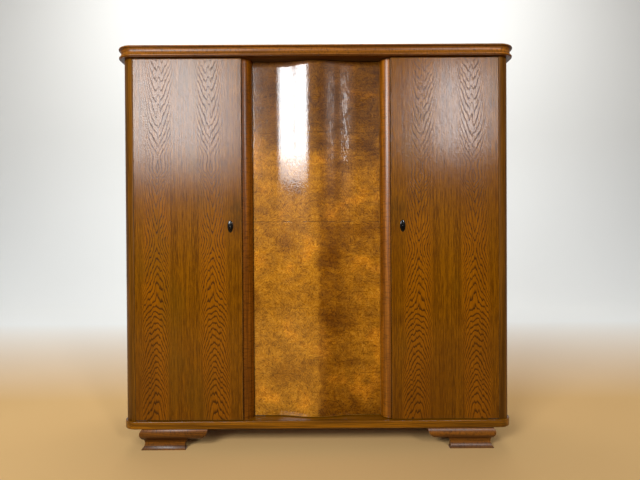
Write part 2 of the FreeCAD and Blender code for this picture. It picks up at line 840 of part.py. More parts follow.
corner_x = nose_side - corner
corner_y = nose_face + corner
cornice_front = body_of("cornice_front")
cornice_line = outline(sketch_on(cornice_front, "cornice_front_line", "XY_Plane", cornice_low), [
    (-nose_side, corner_y, corner),
    (-corner_x, nose_face),
    (corner_x, nose_face, corner),
    (nose_side, corner_y),
], closed=False)
cornice_profile = cornice_section(
    cornice_front, "cornice_front_section", "XZ_Plane", -nose_side, -corner_y, 1)
sweep = cornice_front.newObject("PartDesign::AdditivePipe", "cornice_front_sweep")
sweep.Profile = cornice_profile
sweep.Spine = (cornice_line, [])
right_moulding = body_of("cornice_right")
right_profile = cornice_section(
    right_moulding, "cornice_right_section", "XZ_Plane", nose_side, -corner_y, -1)
pad(right_moulding, right_profile, back - corner_y, True)
mirror("cornice_left", right_moulding)
crown_inner = nose_side - size("cornice_moulding_width")
crown_front = nose_face + size("cornice_moulding_width")
crown_back = back - size("cornice_back_rail_width")
crown_corner = corner - size("cornice_moulding_width")
board("cornice_back", (-crown_inner, crown_inner), (crown_back, back), (cornice_low, cornice_top))
crown_body = body_of("cornice_panel")
crown_sketch = outline(sketch_on(crown_body, "cornice_panel_outline", "XY_Plane", cornice_low), [
    (-crown_inner, crown_back),
    (-crown_inner, crown_front + crown_corner, crown_corner),
    (-crown_inner + crown_corner, crown_front),
    (crown_inner - crown_corner, crown_front, crown_corner),
    (crown_inner, crown_front + crown_corner),
    (crown_inner, crown_back),
])
pad(crown_body, crown_sketch, size("cornice_panel_thickness"))


# Pivot hinges: on the carcass a plate with a pin, on the door a plate with a hole
def pivots(label, hinge_edge, way, face):
    """The plates of one door: two on the carcass with pins, two on the door, and the bores in the door."""
    axis_x = hinge_edge + size("pivot_inset") * way
    axis_y = face + size("pivot_setback")
    near = hinge_edge + size("pivot_plate_margin") * way
    far = near + size("pivot_plate_length") * way
    x = (near, far) if way > 0 else (far, near)
    y = (face + size("pivot_plate_margin"), face + size("pivot_plate_margin") + size("pivot_plate_width"))
    thickness = size("pivot_plate_thickness")
    fixed = fuse(label + "_lower_carcass_pivot", [
        board(label + "_carcass_plate", x, y, (base_top, base_top + thickness)),
        rod(label + "_pin", size("pivot_pin_radius"), thickness + size("pivot_pin_length"),
            axis_x, axis_y, base_top),
    ])
    hole = rod(label + "_plate_hole", size("pivot_pin_radius") + size("pivot_running_gap"), thickness * 2,
               axis_x, axis_y, door_low - thickness)
    moving = cut(label + "_lower_door_pivot", board(
        label + "_door_plate", x, y, (door_low - thickness, door_low)), [hole])
    bore = rod(label + "_lower_bore", size("pivot_pin_radius") + size("pivot_hole_gap"),
               size("pivot_pin_length"), axis_x, axis_y, door_low)
    fixed_pair = together(label + "_carcass_pivots", [
        fixed, mirror(label + "_upper_carcass_pivot", fixed, UPRIGHT, middle_height)])
    moving_pair = together(label + "_door_pivots", [
        moving, mirror(label + "_upper_door_pivot", moving, UPRIGHT, middle_height)])
    bores = [bore, mirror(label + "_upper_bore", bore, UPRIGHT, middle_height)]
    return fixed_pair, moving_pair, bores


right_fixed, right_moving, right_pivot_bores = pivots("right", door_hinge_edge, -1, front)
centre_hinge_edge = -pillar_inner + size("door_gap")
centre_fixed, centre_moving, centre_pivot_bores = pivots("centre", centre_hinge_edge, 1, recess)
left_fixed = mirror("left_carcass_pivots", right_fixed)
mirror("left_door_pivots", right_moving)
together("carcass_pivots", [left_fixed, right_fixed, centre_fixed])

# Outer doors. The hinge edge has a bevelled inner corner, so that it clears its stop.
keyhole_x = door_free_edge + size("keyhole_inset")
bevel = size("hinge_edge_chamfer")
right_door_body = body_of("right_door_board")
right_door_sketch = outline(sketch_on(right_door_body, "right_door_outline", "XY_Plane", door_low), [
    (door_free_edge, front),
    (door_hinge_edge, front),
    (door_hinge_edge, door_back - bevel),
    (door_hinge_edge - bevel, door_back),
    (door_free_edge, door_back),
])
pad(right_door_body, right_door_sketch, door_high - door_low)
key_bore = rod("key_bore", size("keyhole_radius") + size("keyhole_bore_gap"), size("door_thickness"),
               keyhole_x, front, keyhole_z, "y")
slot_half = size("keyhole_slot_width") / 2
key_slot = board("key_slot", (keyhole_x - slot_half, keyhole_x + slot_half), (front, door_back),
                 (keyhole_z - size("keyhole_slot_length"), keyhole_z))

# Lock case: a shell that is open towards the door, with a key pin and a slot for its bolt
case_edge = door_free_edge + size("lock_edge_inset")
case_x = (case_edge, case_edge + size("lock_width"))
case_y = (door_back, door_back + size("lock_depth"))
case_z = (keyhole_z - size("lock_height") / 2, keyhole_z + size("lock_height") / 2)
wall = size("lock_wall")
lock_screw_places = []
for x_share in (-LOCK_SCREW_SHARE, LOCK_SCREW_SHARE):
    for z_share in (-LOCK_SCREW_SHARE, LOCK_SCREW_SHARE):
        x = (case_x[0] + case_x[1]) / 2 + size("lock_width") * x_share
        lock_screw_places.append((x, case_y[1], keyhole_z + size("lock_height") * z_share))
lock_screw_length = size("lock_depth") + size("lock_screw_bite")
lock_screw = screw_solid(
    size("screw_radius").number, lock_screw_length.number,
    size("screw_head_radius").number, size("screw_head_height").number, (0, -1, 0))
right_lock_screws = repeat("right_lock_screws", lock_screw, lock_screw_places)
mirror("left_lock_screws", right_lock_screws)
lock_bore = Part.makeCylinder(
    size("screw_radius").number + size("screw_hole_gap").number, lock_screw_length.number)
lock_bore.Placement.Rotation = FreeCAD.Rotation(FreeCAD.Vector(0, 0, 1), FreeCAD.Vector(0, -1, 0))
lock_bores = repeat("lock_screw_bores", lock_bore, lock_screw_places)
right_door = cut("right_door_panel", right_door_body, right_pivot_bores + [key_bore, key_slot, lock_bores])
mirror("left_door_panel", right_door)
case_shell = cut("right_lock_shell", board("right_lock_block", case_x, case_y, case_z), [
    board("right_lock_cavity", (case_x[0] + wall, case_x[1] - wall), (case_y[0], case_y[1] - wall),
          (case_z[0] + wall, case_z[1] - wall)),
    board("right_bolt_slot", (case_x[0], case_x[0] + wall), mortise_y, mortise_z),
    lock_bores,
])
pin_front = front - size("lock_pin_lead")
right_case = fuse("right_lock_case", [
    case_shell,
    rod("right_key_pin", size("lock_pin_radius"), case_y[1] - pin_front, keyhole_x, pin_front, keyhole_z, "y"),
])
mirror("left_lock_case", right_case)
right_bolt = board("right_lock_bolt", (case_x[0], case_x[0] + size("bolt_length")),
                   (bolt_front, bolt_back), (bolt_low, bolt_high))
mirror("left_lock_bolt", right_bolt)

# Escutcheons: a domed oval with a keyhole
escutcheon = body_of("right_escutcheon")
oval = sketch_on(escutcheon, "right_escutcheon_oval", "XZ_Plane", -front)
middle = FreeCAD.Vector(keyhole_x.number, keyhole_z.number, 0)
tall = FreeCAD.Vector(0, size("escutcheon_height").number / 2, 0)
wide = FreeCAD.Vector(-size("escutcheon_width").number / 2, 0, 0)
oval.addGeometry(Part.Ellipse(middle + tall, middle + wide, middle), False)
fix_point(oval, 0, 3, keyhole_x, keyhole_z)
oval.exposeInternalGeometry(0)
for line, alias in ((1, "escutcheon_height"), (2, "escutcheon_width")):
    number = oval.addConstraint(Sketcher.Constraint("Distance", line, size(alias).number))
    oval.setExpression(f"Constraints[{number}]", size(alias).words)
oval.addConstraint(Sketcher.Constraint("Vertical", 1))
oval_pad = pad(escutcheon, oval, size("escutcheon_thickness"))
doc.recompute()
face_y = (front - size("escutcheon_thickness")).number
rims = [f"Edge{place}" for place, item in enumerate(oval_pad.Shape.Edges, start=1)
        if abs(item.BoundBox.YMax - face_y) < MATCH_TOLERANCE]
dome = escutcheon.newObject("PartDesign::Fillet", "right_escutcheon_dome")
dome.Base = (oval_pad, rims)
bind(dome, {"Radius": size("escutcheon_dome_radius")})
pocket_through(escutcheon, circle_in(
    sketch_on(escutcheon, "right_keyhole_round", "XZ_Plane"), keyhole_x, keyhole_z, size("keyhole_radius")))
pocket_through(escutcheon, outline(sketch_on(escutcheon, "right_keyhole_slot", "XZ_Plane"), [
    (keyhole_x - slot_half, keyhole_z - size("keyhole_slot_length")),
    (keyhole_x + slot_half, keyhole_z - size("keyhole_slot_length")),
    (keyhole_x + slot_half, keyhole_z),
    (keyhole_x - slot_half, keyhole_z),
]))
mirror("left_escutcheon", escutcheon)

# Centre door: a panel of even thickness, bowed forward in its middle by two matching arcs
bow = size("centre_door_bow")
reach = pillar_inner - size("centre_door_flat")
bow_radius = (reach * reach + bow * bow) / (bow * 4)
thickness = size("centre_door_thickness")
turn_x = reach / 2
turn_y = recess - bow / 2
inner_turn_x = turn_x - turn_x * thickness / bow_radius
inner_turn_y = turn_y + (bow_radius - bow / 2) * thickness / bow_radius
centre_body = body_of("centre_door_board")
centre_sketch = outline(sketch_on(centre_body, "centre_door_outline", "XY_Plane", door_low), [
    (centre_hinge_edge, recess),
    (-reach, recess, -bow_radius),
    (-turn_x, turn_y, bow_radius),
    (turn_x, turn_y, -bow_radius),
    (reach, recess),
    (pillar_inner, recess),
    (pillar_inner, centre_back),
    (reach, centre_back, bow_radius + thickness),
    (inner_turn_x, inner_turn_y, -(bow_radius - thickness)),
    (-inner_turn_x, inner_turn_y, bow_radius + thickness),
    (-reach, centre_back),
    (centre_hinge_edge + bevel, centre_back),
    (centre_hinge_edge, centre_back - bevel),
])
pad(centre_body, centre_sketch, door_high - door_low)
cut("centre_door_panel", centre_body, centre_pivot_bores)

# Slide bolts, which hold the closing post of the centre door at the top and the bottom
slide_plate_z = (
    top_low - size("slide_plate_drop") - size("slide_plate_length"), top_low - size("slide_plate_drop"))
plate_back = centre_back + size("slide_plate_thickness")
lug_half = size("slide_lug_width") / 2
lug_y = (plate_back, slide_y + size("slide_bolt_radius") + size("slide_lug_cap"))
lug_x = (slide_x - lug_half, slide_x + lug_half)
slide_plate_half = size("slide_plate_width") / 2
slide_tip = top_low - size("slide_bolt_tip_gap")
slide_low = slide_tip - size("slide_bolt_length")
guide_blank = fuse("top_guide_blank", [
    board("top_guide_plate", (slide_x - slide_plate_half, slide_x + slide_plate_half),
          (centre_back, plate_back), slide_plate_z),
    board("top_guide_low_lug", lug_x, lug_y, (slide_plate_z[0], slide_plate_z[0] + size("slide_lug_length"))),
    board("top_guide_high_lug", lug_x, lug_y, (slide_plate_z[1] - size("slide_lug_length"), slide_plate_z[1])),
])
guide_bore = rod("top_guide_bore", size("slide_bolt_radius") + size("slide_bolt_running_gap"),
                 size("slide_plate_length"), slide_x, slide_y, slide_plate_z[0])
top_guide = cut("top_bolt_guide", guide_blank, [guide_bore])
bottom_guide = mirror("bottom_bolt_guide", top_guide, UPRIGHT, middle_height)
together("slide_bolt_guides", [top_guide, bottom_guide])
knob_z = (slide_plate_z[0] + slide_plate_z[1]) / 2 - size("slide_bolt_travel") / 2
top_bolt = fuse("top_slide_bolt", [
    rod("top_bolt_rod", size("slide_bolt_radius"), size("slide_bolt_length"), slide_x, slide_y, slide_low),
    rod("top_bolt_knob", size("slide_knob_radius"), size("slide_bolt_radius") + size("slide_knob_length"),
        slide_x, slide_y, knob_z, "y"),
])
mirror("bottom_slide_bolt", top_bolt, UPRIGHT, middle_height)

NODES = (
    "front_left_foot", "front_right_foot", "left_front_return", "right_front_return",
    "left_rear_foot", "right_rear_foot", "foot_blocks", "foot_screws",
    "base_front", "base_left", "base_right", "base_back",
    "floor_board", "top_board", "left_side", "right_side", "left_corner_post", "right_corner_post",
    "partition", "left_pillar", "left_strike_plate",
    "left_back_panel", "centre_back_panel", "right_back_panel", "back_muntin", "back_screws",
    "shelf_1", "shelf_2", "shelf_3", "shelf_4", "shelf_battens", "hat_shelf",
    "garment_rail", "rail_sockets", "rail_hanger",
    "cornice_front", "cornice_left", "cornice_right", "cornice_back", "cornice_panel",
    "carcass_pivots", "left_door_pivots", "centre_door_pivots", "right_door_pivots",
    "left_door_panel", "left_escutcheon", "left_lock_case", "left_lock_bolt", "left_lock_screws",
    "right_door_panel", "right_escutcheon", "right_lock_case", "right_lock_bolt", "right_lock_screws",
    "centre_door_panel", "right_pillar", "right_strike_plate",
    "slide_bolt_guides", "top_slide_bolt", "bottom_slide_bolt",
)

doc.recompute()
for item in doc.Objects:
    if "Invalid" in item.State or "Error" in item.State:
        raise RuntimeError(f"{item.Label} did not build: {item.State}")
for name in NODES:
    shape = doc.getObject(name).Shape
    if shape.isNull() or not shape.isValid() or not shape.Solids:
        raise RuntimeError(f"{name} has no valid solid")
    shape.exportStep(f"parts/{name}.step")
print(len(NODES), "nodes written")
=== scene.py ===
import math

import bmesh
import bpy
from mathutils import Matrix, Vector


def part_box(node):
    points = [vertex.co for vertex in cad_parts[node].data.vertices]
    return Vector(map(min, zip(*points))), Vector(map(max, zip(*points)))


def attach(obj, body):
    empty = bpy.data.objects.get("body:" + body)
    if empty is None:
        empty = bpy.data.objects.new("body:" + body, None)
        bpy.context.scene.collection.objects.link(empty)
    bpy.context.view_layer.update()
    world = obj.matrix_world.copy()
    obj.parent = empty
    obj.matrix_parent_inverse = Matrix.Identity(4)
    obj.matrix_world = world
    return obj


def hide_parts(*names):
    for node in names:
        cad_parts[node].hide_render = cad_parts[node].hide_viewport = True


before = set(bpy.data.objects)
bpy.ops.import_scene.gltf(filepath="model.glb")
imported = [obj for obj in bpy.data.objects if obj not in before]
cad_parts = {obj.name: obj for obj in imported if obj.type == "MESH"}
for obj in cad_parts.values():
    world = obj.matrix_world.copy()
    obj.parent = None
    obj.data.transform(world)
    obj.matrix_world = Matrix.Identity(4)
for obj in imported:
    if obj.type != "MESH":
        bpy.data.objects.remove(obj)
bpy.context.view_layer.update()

# The room: a pale floor that curves up into a pale backdrop, and soft daylight from
# the front, broad and high on the left and weaker on the right. The camera stands
# 2.2 m in front of the doors, a little below the keyholes.
floor_near, floor_far, floor_half, backdrop_high, backdrop_bend = -40.0, 7.0, 45.0, 30.0, 3.0
bend_steps, wall_start, wall_whole = 24, 0.4, 3.0
camera_place, camera_lens = (0.0118, -2.4987, 0.991), 27.06
camera_pitch, camera_yaw, camera_roll = 0.45, 0.103, 0.33
sky_tint, window_tint, sky_strength = (0.95, 0.97, 1.0), (0.92, 0.98, 1.02), 0.18


def paint(red, green, blue):
    """A colour as it shows on a screen, in numbers up to 255, turned into light."""
    shares = [value / 255 for value in (red, green, blue)]
    return (*[s / 12.92 if s <= 0.04045 else ((s + 0.055) / 1.055) ** 2.4 for s in shares], 1)


def feed(socket, target):
    """A link from one socket to another."""
    socket.id_data.links.new(socket, target)


def node(tree, kind, links=None, **settings):
    """A node with its settings. Each input is linked where a socket is given, or else filled in."""
    made = tree.nodes.new(kind)
    for name, value in settings.items():
        setattr(made, name, value)
    for socket, value in (links or {}).items():
        if isinstance(value, bpy.types.NodeSocket):
            feed(value, made.inputs[socket])
        else:
            made.inputs[socket].default_value = value
    return made


def axes(vector):
    """The three parts of a vector."""
    return node(vector.id_data, "ShaderNodeSeparateXYZ", {0: vector}).outputs


def blended(share, first, second, mode="MIX"):
    """Two colours mixed by a share."""
    return node(share.id_data, "ShaderNodeMix", {"Factor": share, "A": first, "B": second},
                data_type="RGBA", blend_type=mode).outputs["Result"]


def finish_of(name, **constants):
    """A new material, its shader with the values that are the same all over, and the place on the object."""
    material = bpy.data.materials.new(name)
    material.use_nodes = True
    shader = material.node_tree.nodes["Principled BSDF"]
    for socket, value in constants.items():
        shader.inputs[socket.replace("_", " ").title().replace("Ior", "IOR")].default_value = value
    return material, shader, node(material.node_tree, "ShaderNodeTexCoord").outputs["Object"]


def placed(name, data):
    """A new object at the origin."""
    made = bpy.data.objects.new(name, data)
    bpy.context.scene.collection.objects.link(made)
    return made


def object_from(name, mesh):
    """A mesh built in place, as an object at the origin."""
    data = bpy.data.meshes.new(name)
    bmesh.ops.recalc_face_normals(mesh, faces=mesh.faces)
    mesh.to_mesh(data)
    mesh.free()
    return placed(name, data)


line = [(floor_near, 0)]
for step in range(bend_steps + 1):
    angle = math.pi / 2 * step / bend_steps
    line.append((floor_far - backdrop_bend + backdrop_bend * math.sin(angle),
                 backdrop_bend - backdrop_bend * math.cos(angle)))
line.append((floor_far, backdrop_high))
mesh = bmesh.new()
edges = [[mesh.verts.new((x, y, z)) for y, z in line] for x in (-floor_half, floor_half)]
for place in range(len(line) - 1):
    mesh.faces.new((edges[0][place], edges[1][place], edges[1][place + 1], edges[0][place + 1]))
room = object_from("room", mesh)
room.data.shade_smooth()
room_paint, shader, where = finish_of("room_paint", roughness=0.9, specular_ior_level=0.1)
cloud = node(where.id_data, "ShaderNodeTexNoise", {"Vector": where, "Scale": 0.7}).outputs["Fac"]
wall = node(where.id_data, "ShaderNodeMapRange", {
    "Value": axes(where)["Y"], "From Min": wall_start, "From Max": wall_whole}).outputs["Result"]
floor_tint = blended(cloud, paint(204, 162, 106), paint(216, 176, 118))
feed(blended(wall, floor_tint, paint(236, 236, 233)), shader.inputs["Base Color"])
room.data.materials.append(room_paint)


def soft_light(name, place, wide, high, power, tilt=90, tint=(1, 1, 1)):
    """A soft rectangle of daylight. With a tilt of 90 degrees it faces the wardrobe squarely."""
    data = bpy.data.lights.new(name, "AREA")
    data.shape, data.size, data.size_y, data.energy, data.color = "RECTANGLE", wide, high, power, tint
    lamp = placed(name, data)
    lamp.location, lamp.rotation_euler = place, (math.radians(tilt), 0, 0)
    lamp.visible_camera = False


soft_light("window_left", (-2.01, -4.27, 2.78), 1.88, 1.46, 262, tint=window_tint)
soft_light("window_left_sill", (-2.01, -4.27, 1.90), 1.88, 0.30, 20, tint=window_tint)
soft_light("window_right", (1.82, -4.27, 2.65), 0.6, 1.1, 100, tint=sky_tint)
soft_light("roof_light", (0, 3.4, 6.5), 9.0, 3.5, 380, tilt=35)
world = bpy.data.worlds.new("daylight")
bpy.context.scene.world = world
world.use_nodes = True
world.node_tree.nodes["Background"].inputs["Color"].default_value = (*sky_tint, 1)
world.node_tree.nodes["Background"].inputs["Strength"].default_value = sky_strength
bpy.context.scene.view_settings.view_transform = "Standard"
camera = placed("camera", bpy.data.cameras.new("camera"))
camera.data.lens = camera_lens
camera.location = camera_place
camera.rotation_euler = [math.radians(angle) for angle in (90 - camera_pitch, camera_roll, -camera_yaw)]
bpy.context.scene.camera = camera

# Feet: moulded bracket feet of stained hardwood. Each front foot is a front board and a
# side return, mitred and glued at the corner; the rear feet are side boards only. The
# section is a round upper part, a small step, a hollow and a toe.
foot_board, foot_length, foot_side_length = 0.040, 0.315, 0.240
ovolo_high, ovolo_radius, foot_step = 0.052, 0.033, 0.002
toe_inset, toe_high, cove_radius = 0.008, 0.004, 0.033
wing_length, leg_spread, arch_high, arch_radius = 0.102, 0.012, 0.053, 0.037
end_radius, end_inset, foot_eased = 0.048, 0.030, 0.0012
arc_step, SHARP = math.radians(5), math.radians(35)
grain_shift = Vector((0.37, 0.23, 0.71))


def outline(corners):
    """The points of a closed outline. A corner is (u, v), or (u, v, radius) where an arc leads on.

    A positive radius curves to the left of the way round, and a negative one to the right.
    """
    points = []
    for place, corner in enumerate(corners):
        start = Vector(corner[:2])
        points.append(start)
        if len(corner) == 2:
            continue
        finish = Vector(corners[(place + 1) % len(corners)][:2])
        radius, chord = corner[2], finish - start
        left = Vector((-chord.y, chord.x)).normalized()
        reach = math.sqrt(max(radius ** 2 - (chord.length / 2) ** 2, 0))
        centre = (start + finish) / 2 + left * math.copysign(reach, radius)
        turn = 2 * math.asin(min(chord.length / 2 / abs(radius), 1))
        steps = max(4, round(turn / arc_step))
        for step in range(1, steps):
            swing = Matrix.Rotation(math.copysign(turn * step / steps, radius), 2)
            points.append(centre + swing @ (start - centre))
    return points


def bridged(mesh, first, second):
    """The faces between two rings of points."""
    for place in range(len(first)):
        onward = (place + 1) % len(first)
        mesh.faces.new((first[place], first[onward], second[onward], second[place]))


def extruded(name, points, low, high, axis="z"):
    """A piece of one section from end to end, such as a board or a moulding."""
    place = {"x": lambda u, v, w: (w, u, v), "y": lambda u, v, w: (u, w, v), "z": lambda u, v, w: (u, v, w)}
    mesh = bmesh.new()
    ends = [[mesh.verts.new(place[axis](u, v, w)) for u, v in points] for w in (low, high)]
    bridged(mesh, *ends)
    for end in ends:
        mesh.faces.new(end)
    return object_from(name, mesh)


def settled(piece):
    """The piece with its modifiers worked into a plain mesh."""
    bpy.context.view_layer.update()
    ready = piece.evaluated_get(bpy.context.evaluated_depsgraph_get())
    data = bpy.data.meshes.new_from_object(ready)
    piece.modifiers.clear()
    piece.data = data
    return piece


def carved(piece, cutter):
    """Takes the cutter's shape out of the piece."""
    cut = piece.modifiers.new("cut", "BOOLEAN")
    cut.operation, cut.solver, cut.object = "DIFFERENCE", "EXACT", cutter
    settled(piece)
    bpy.data.objects.remove(cutter)


def eased(piece, width, shortest=0.0):
    """The sharp edges taken off by sandpaper. The new faces are marked as the arris, which wears first."""
    mesh = bmesh.new()
    mesh.from_mesh(piece.data)
    bmesh.ops.remove_doubles(mesh, verts=mesh.verts, dist=1e-6)
    bmesh.ops.dissolve_limit(mesh, angle_limit=math.radians(0.5), verts=mesh.verts, edges=mesh.edges)
    marks = mesh.faces.layers.float.new("arris")
    sharp = [edge for edge in mesh.edges
             if edge.is_manifold and edge.calc_face_angle() > SHARP and edge.calc_length() > shortest]
    made = bmesh.ops.bevel(mesh, geom=sharp, offset=width, segments=2, profile=0.5, affect="EDGES",
                           clamp_overlap=True)
    for face in made["faces"]:
        face[marks] = 1.0
    mesh.to_mesh(piece.data)
    mesh.free()
    return piece


def smoothed(piece):
    """Round faces shade as round, and flat faces stay flat right up to their eased edges."""
    piece.data.shade_smooth()
    piece.data.set_sharp_from_angle(angle=SHARP)
    weights = piece.modifiers.new("weights", "WEIGHTED_NORMAL")
    weights.keep_sharp = True
    return settled(piece)


def mirrored(piece, name):
    """The same piece for the other side of the wardrobe."""
    twin = placed(name, piece.data.copy())
    twin.data.transform(Matrix.Diagonal((-1, 1, 1, 1)))
    twin.data.flip_normals()
    return twin


board_count = 0


def fitted(piece, along, body, slot, material, *nodes):
    """The finished piece in its place. Its grain runs along one axis, and no two boards share a figure."""
    global board_count
    board_count += 1
    order = {"x": (1, 2, 0), "y": (2, 0, 1), "z": (0, 1, 2)}[along]
    grain = piece.data.attributes.new("grain", "FLOAT_VECTOR", "POINT")
    for vertex, row in zip(piece.data.vertices, grain.data):
        row.vector = Vector([vertex.co[place] for place in order]) + grain_shift * board_count
    piece.data.materials.clear()
    piece.data.materials.append(material)
    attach(piece, body)
    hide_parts(*nodes)


def tree_of(values):
    """The node tree of the sockets among some values."""
    return next(value for value in values if isinstance(value, bpy.types.NodeSocket)).id_data


def calc(operation, *values, clamp=False):
    """One sum on numbers that change over the surface."""
    return node(tree_of(values), "ShaderNodeMath", dict(enumerate(values)),
                operation=operation, use_clamp=clamp).outputs[0]


def product(first, *others):
    """Numbers multiplied one after the other."""
    for other in others:
        first = calc("MULTIPLY", first, other)
    return first


def scaled(first, factor, more, clamp=False):
    """A number times a factor, and more added."""
    return calc("MULTIPLY_ADD", first, factor, more, clamp=clamp)


def ramp(value, low, high, start=0.0, end=1.0):
    """A soft step from start to end, as a value goes from low to high."""
    return node(value.id_data, "ShaderNodeMapRange", {
        "Value": value, "From Min": low, "From Max": high, "To Min": start, "To Max": end,
    }, interpolation_type="SMOOTHSTEP").outputs["Result"]


def vectors(operation, first, second):
    """One sum on two places or directions."""
    return node(first.id_data, "ShaderNodeVectorMath", {0: first, 1: second}, operation=operation).outputs[0]


def mottle(vector, stretch, detail=2.0, roughness=0.5, distortion=0.0):
    """Noise with its own fineness on each axis, in waves a metre."""
    return node(vector.id_data, "ShaderNodeTexNoise", {
        "Vector": vectors("MULTIPLY", vector, stretch), "Scale": 1.0, "Detail": detail, "Roughness": roughness,
        "Distortion": distortion,
    }).outputs["Fac"]


def combined(tree, **parts):
    """A vector from its parts."""
    return node(tree, "ShaderNodeCombineXYZ", parts).outputs[0]


def shader_group(name, inputs, outputs):
    """An empty group, its inputs and its outputs. An input is a number, or a vector where it has no value."""
    tree = bpy.data.node_groups.new(name, "ShaderNodeTree")
    for socket, value in inputs.items():
        kind = "NodeSocketVector" if value is None else "NodeSocketFloat"
        made = tree.interface.new_socket(name=socket, in_out="INPUT", socket_type=kind)
        if value is not None:
            made.default_value = value
    for socket in outputs:
        tree.interface.new_socket(name=socket, in_out="OUTPUT", socket_type="NodeSocketFloat")
    return tree, node(tree, "NodeGroupInput").outputs, node(tree, "NodeGroupOutput").inputs


def grouped(group, **links):
    """The outputs of a shader group with its inputs linked or filled in."""
    return node(tree_of(links.values()), "ShaderNodeGroup", links, node_tree=group).outputs


def raised(shader, height, distance, strength):
    """A fine relief on the surface, and the normal that it gives."""
    bump = node(height.id_data, "ShaderNodeBump", {
        "Height": height, "Distance": distance, "Strength": strength})
    feed(bump.outputs["Normal"], shader.inputs["Normal"])
    return bump.outputs["Normal"]


def coated(shader, colour, roughness):
    """The colour and the roughness that change over the surface."""
    feed(colour, shader.inputs["Base Color"])
    feed(roughness, shader.inputs["Roughness"])


# Solid wood: growth rings round a pith beside the board, streaks, and short dark pores
ring_group, given, wanted = shader_group("Board grain", {"Grain": None, "Ring spacing": 0.006},
                                         ["Rings", "Streaks", "Pores"])
wander = mottle(given["Grain"], (7, 7, 1.1), 3)
aside = axes(given["Grain"])
lean = scaled(aside["Z"], 0.03, aside["X"])
distance = calc("SQRT", calc("ADD", calc("POWER", lean, 2.0), calc("POWER", aside["Y"], 2.0)))
distance = scaled(wander, 0.05, distance)
age = calc("FRACT", calc("DIVIDE", distance, given["Ring spacing"]))
feed(calc("MAXIMUM", ramp(age, 0.0, 0.5, 1.0, 0.0), ramp(age, 0.86, 1.0)), wanted["Rings"])
broad = mottle(given["Grain"], (60, 60, 1.6), 3)
fine = mottle(given["Grain"], (420, 420, 7), 3, 0.6)
feed(calc("ADD", product(broad, 0.55), product(fine, 0.45)), wanted["Streaks"])
feed(ramp(mottle(given["Grain"], (1500, 1500, 60), 1), 0.6, 0.72), wanted["Pores"])

# Wear: the stain is rubbed off the arrises here and there
wear_group, given, wanted = shader_group("Worn edges", {"Position": None, "Amount": 0.6}, ["Worn"])
arris = node(wear_group, "ShaderNodeAttribute", attribute_name="arris").outputs["Fac"]
patches = ramp(mottle(given["Position"], (9, 9, 9), 4, 0.7), 0.42, 0.62, 0.25, 1.0)
feed(product(arris, patches, given["Amount"]), wanted["Worn"])

# Dust and grime: a dull veil on faces that look up, and dirt close to the floor. Faces that look down get
# painted shade.
dust_and_shade_group, given, wanted = shader_group("Dust", {"Position": None, "Amount": 0.5}, ["Dust", "Grime", "Painted shade"])
facing = axes(node(dust_and_shade_group, "ShaderNodeNewGeometry").outputs["Normal"])["Z"]
specks = mottle(given["Position"], (26, 26, 26), 5, 0.7)
feed(product(ramp(facing, 0.6, 0.95), specks, given["Amount"]), wanted["Dust"])
low_down = ramp(axes(given["Position"])["Z"], 0.0, 0.035, 1.0, 0.0)
feed(product(low_down, specks), wanted["Grime"])
# A mask for painted shade on faces that look down
feed(ramp(facing, -0.75, -0.15, 1.0, 0.0), wanted["Painted shade"])


def stained_wood(name, light, dark, worn, roughness=0.42, gloss=0.25, rings=0.45, wear=0.6, dust=0.3,
                 flecks=None, bare=None):
    """Stained and lacquered solid wood: its ground between two tones, dark rings and pores, wear and dust, and
    painted shade on faces that look down.

    The wood is left bare nearer to the middle of the wardrobe than the distance bare.
    """
    material, shader, where = finish_of(name, specular_ior_level=gloss)
    grain = node(where.id_data, "ShaderNodeAttribute", attribute_name="grain").outputs["Vector"]
    figure = grouped(ring_group, Grain=grain)
    colour = blended(ramp(figure["Streaks"], 0.38, 0.62), dark, light)
    depth = product(figure["Rings"], rings)
    if flecks:
        depth = scaled(ramp(mottle(grain, flecks, 3, 0.65), 0.48, 0.66), 0.55, depth, clamp=True)
    depth = scaled(figure["Pores"], 0.5, depth, clamp=True)
    deep = tuple(value * 0.45 for value in dark[:3]) + (1,)
    colour = blended(depth, colour, deep)
    if bare:
        raw = blended(figure["Streaks"], paint(166, 122, 72), paint(196, 158, 108))
        raw = blended(product(depth, 0.6), raw, paint(120, 84, 48))
        across = calc("ABSOLUTE", axes(where)["X"])
        colour = blended(ramp(across, bare - 0.002, bare, 1.0, 0.0), colour, raw)
    colour = blended(grouped(wear_group, Position=where, Amount=wear)["Worn"], colour, worn)
    dirt_and_shade = grouped(dust_and_shade_group, Position=where, Amount=dust)
    colour = blended(product(dirt_and_shade["Grime"], 0.7), colour, paint(38, 28, 18))
    colour = blended(dirt_and_shade["Dust"], colour, paint(128, 112, 92))
    # Painted shade: faces that look down take the deep tone of the pores
    colour = blended(product(dirt_and_shade["Painted shade"], 0.8), colour, deep)
    satin = scaled(figure["Streaks"], 0.1, roughness - 0.05)
    coated(shader, colour, scaled(dirt_and_shade["Dust"], 0.5, satin, clamp=True))
    raised(shader, product(depth, -1.0), 0.0002, 0.5)
    return material


foot_wood = stained_wood("foot_wood", paint(134, 78, 12), paint(84, 44, 2), paint(182, 120, 56),
                         roughness=0.36, gloss=0.36, flecks=(70, 70, 160))
foot_low, foot_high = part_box("front_right_foot")
foot_face, foot_outer, foot_top = foot_low.y, foot_high.x, foot_high.z
base_back_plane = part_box("right_rear_foot")[1].y
ovolo_low = foot_top - ovolo_high
ovolo_reach = ovolo_radius - math.sqrt(ovolo_radius ** 2 - ovolo_high ** 2 / 4)


def foot_section(face, way):
    """The moulded section, with its outermost line at face. way is 1 where inwards is positive."""
    return outline([
        (face + ovolo_reach * way, foot_top, ovolo_radius * way),
        (face + ovolo_reach * way, ovolo_low),
        (face + (ovolo_reach + foot_step) * way, ovolo_low, -cove_radius * way),
        (face + toe_inset * way, toe_high),
        (face + toe_inset * way, 0),
        (face + foot_board * way, 0),
        (face + foot_board * way, foot_top),
    ])


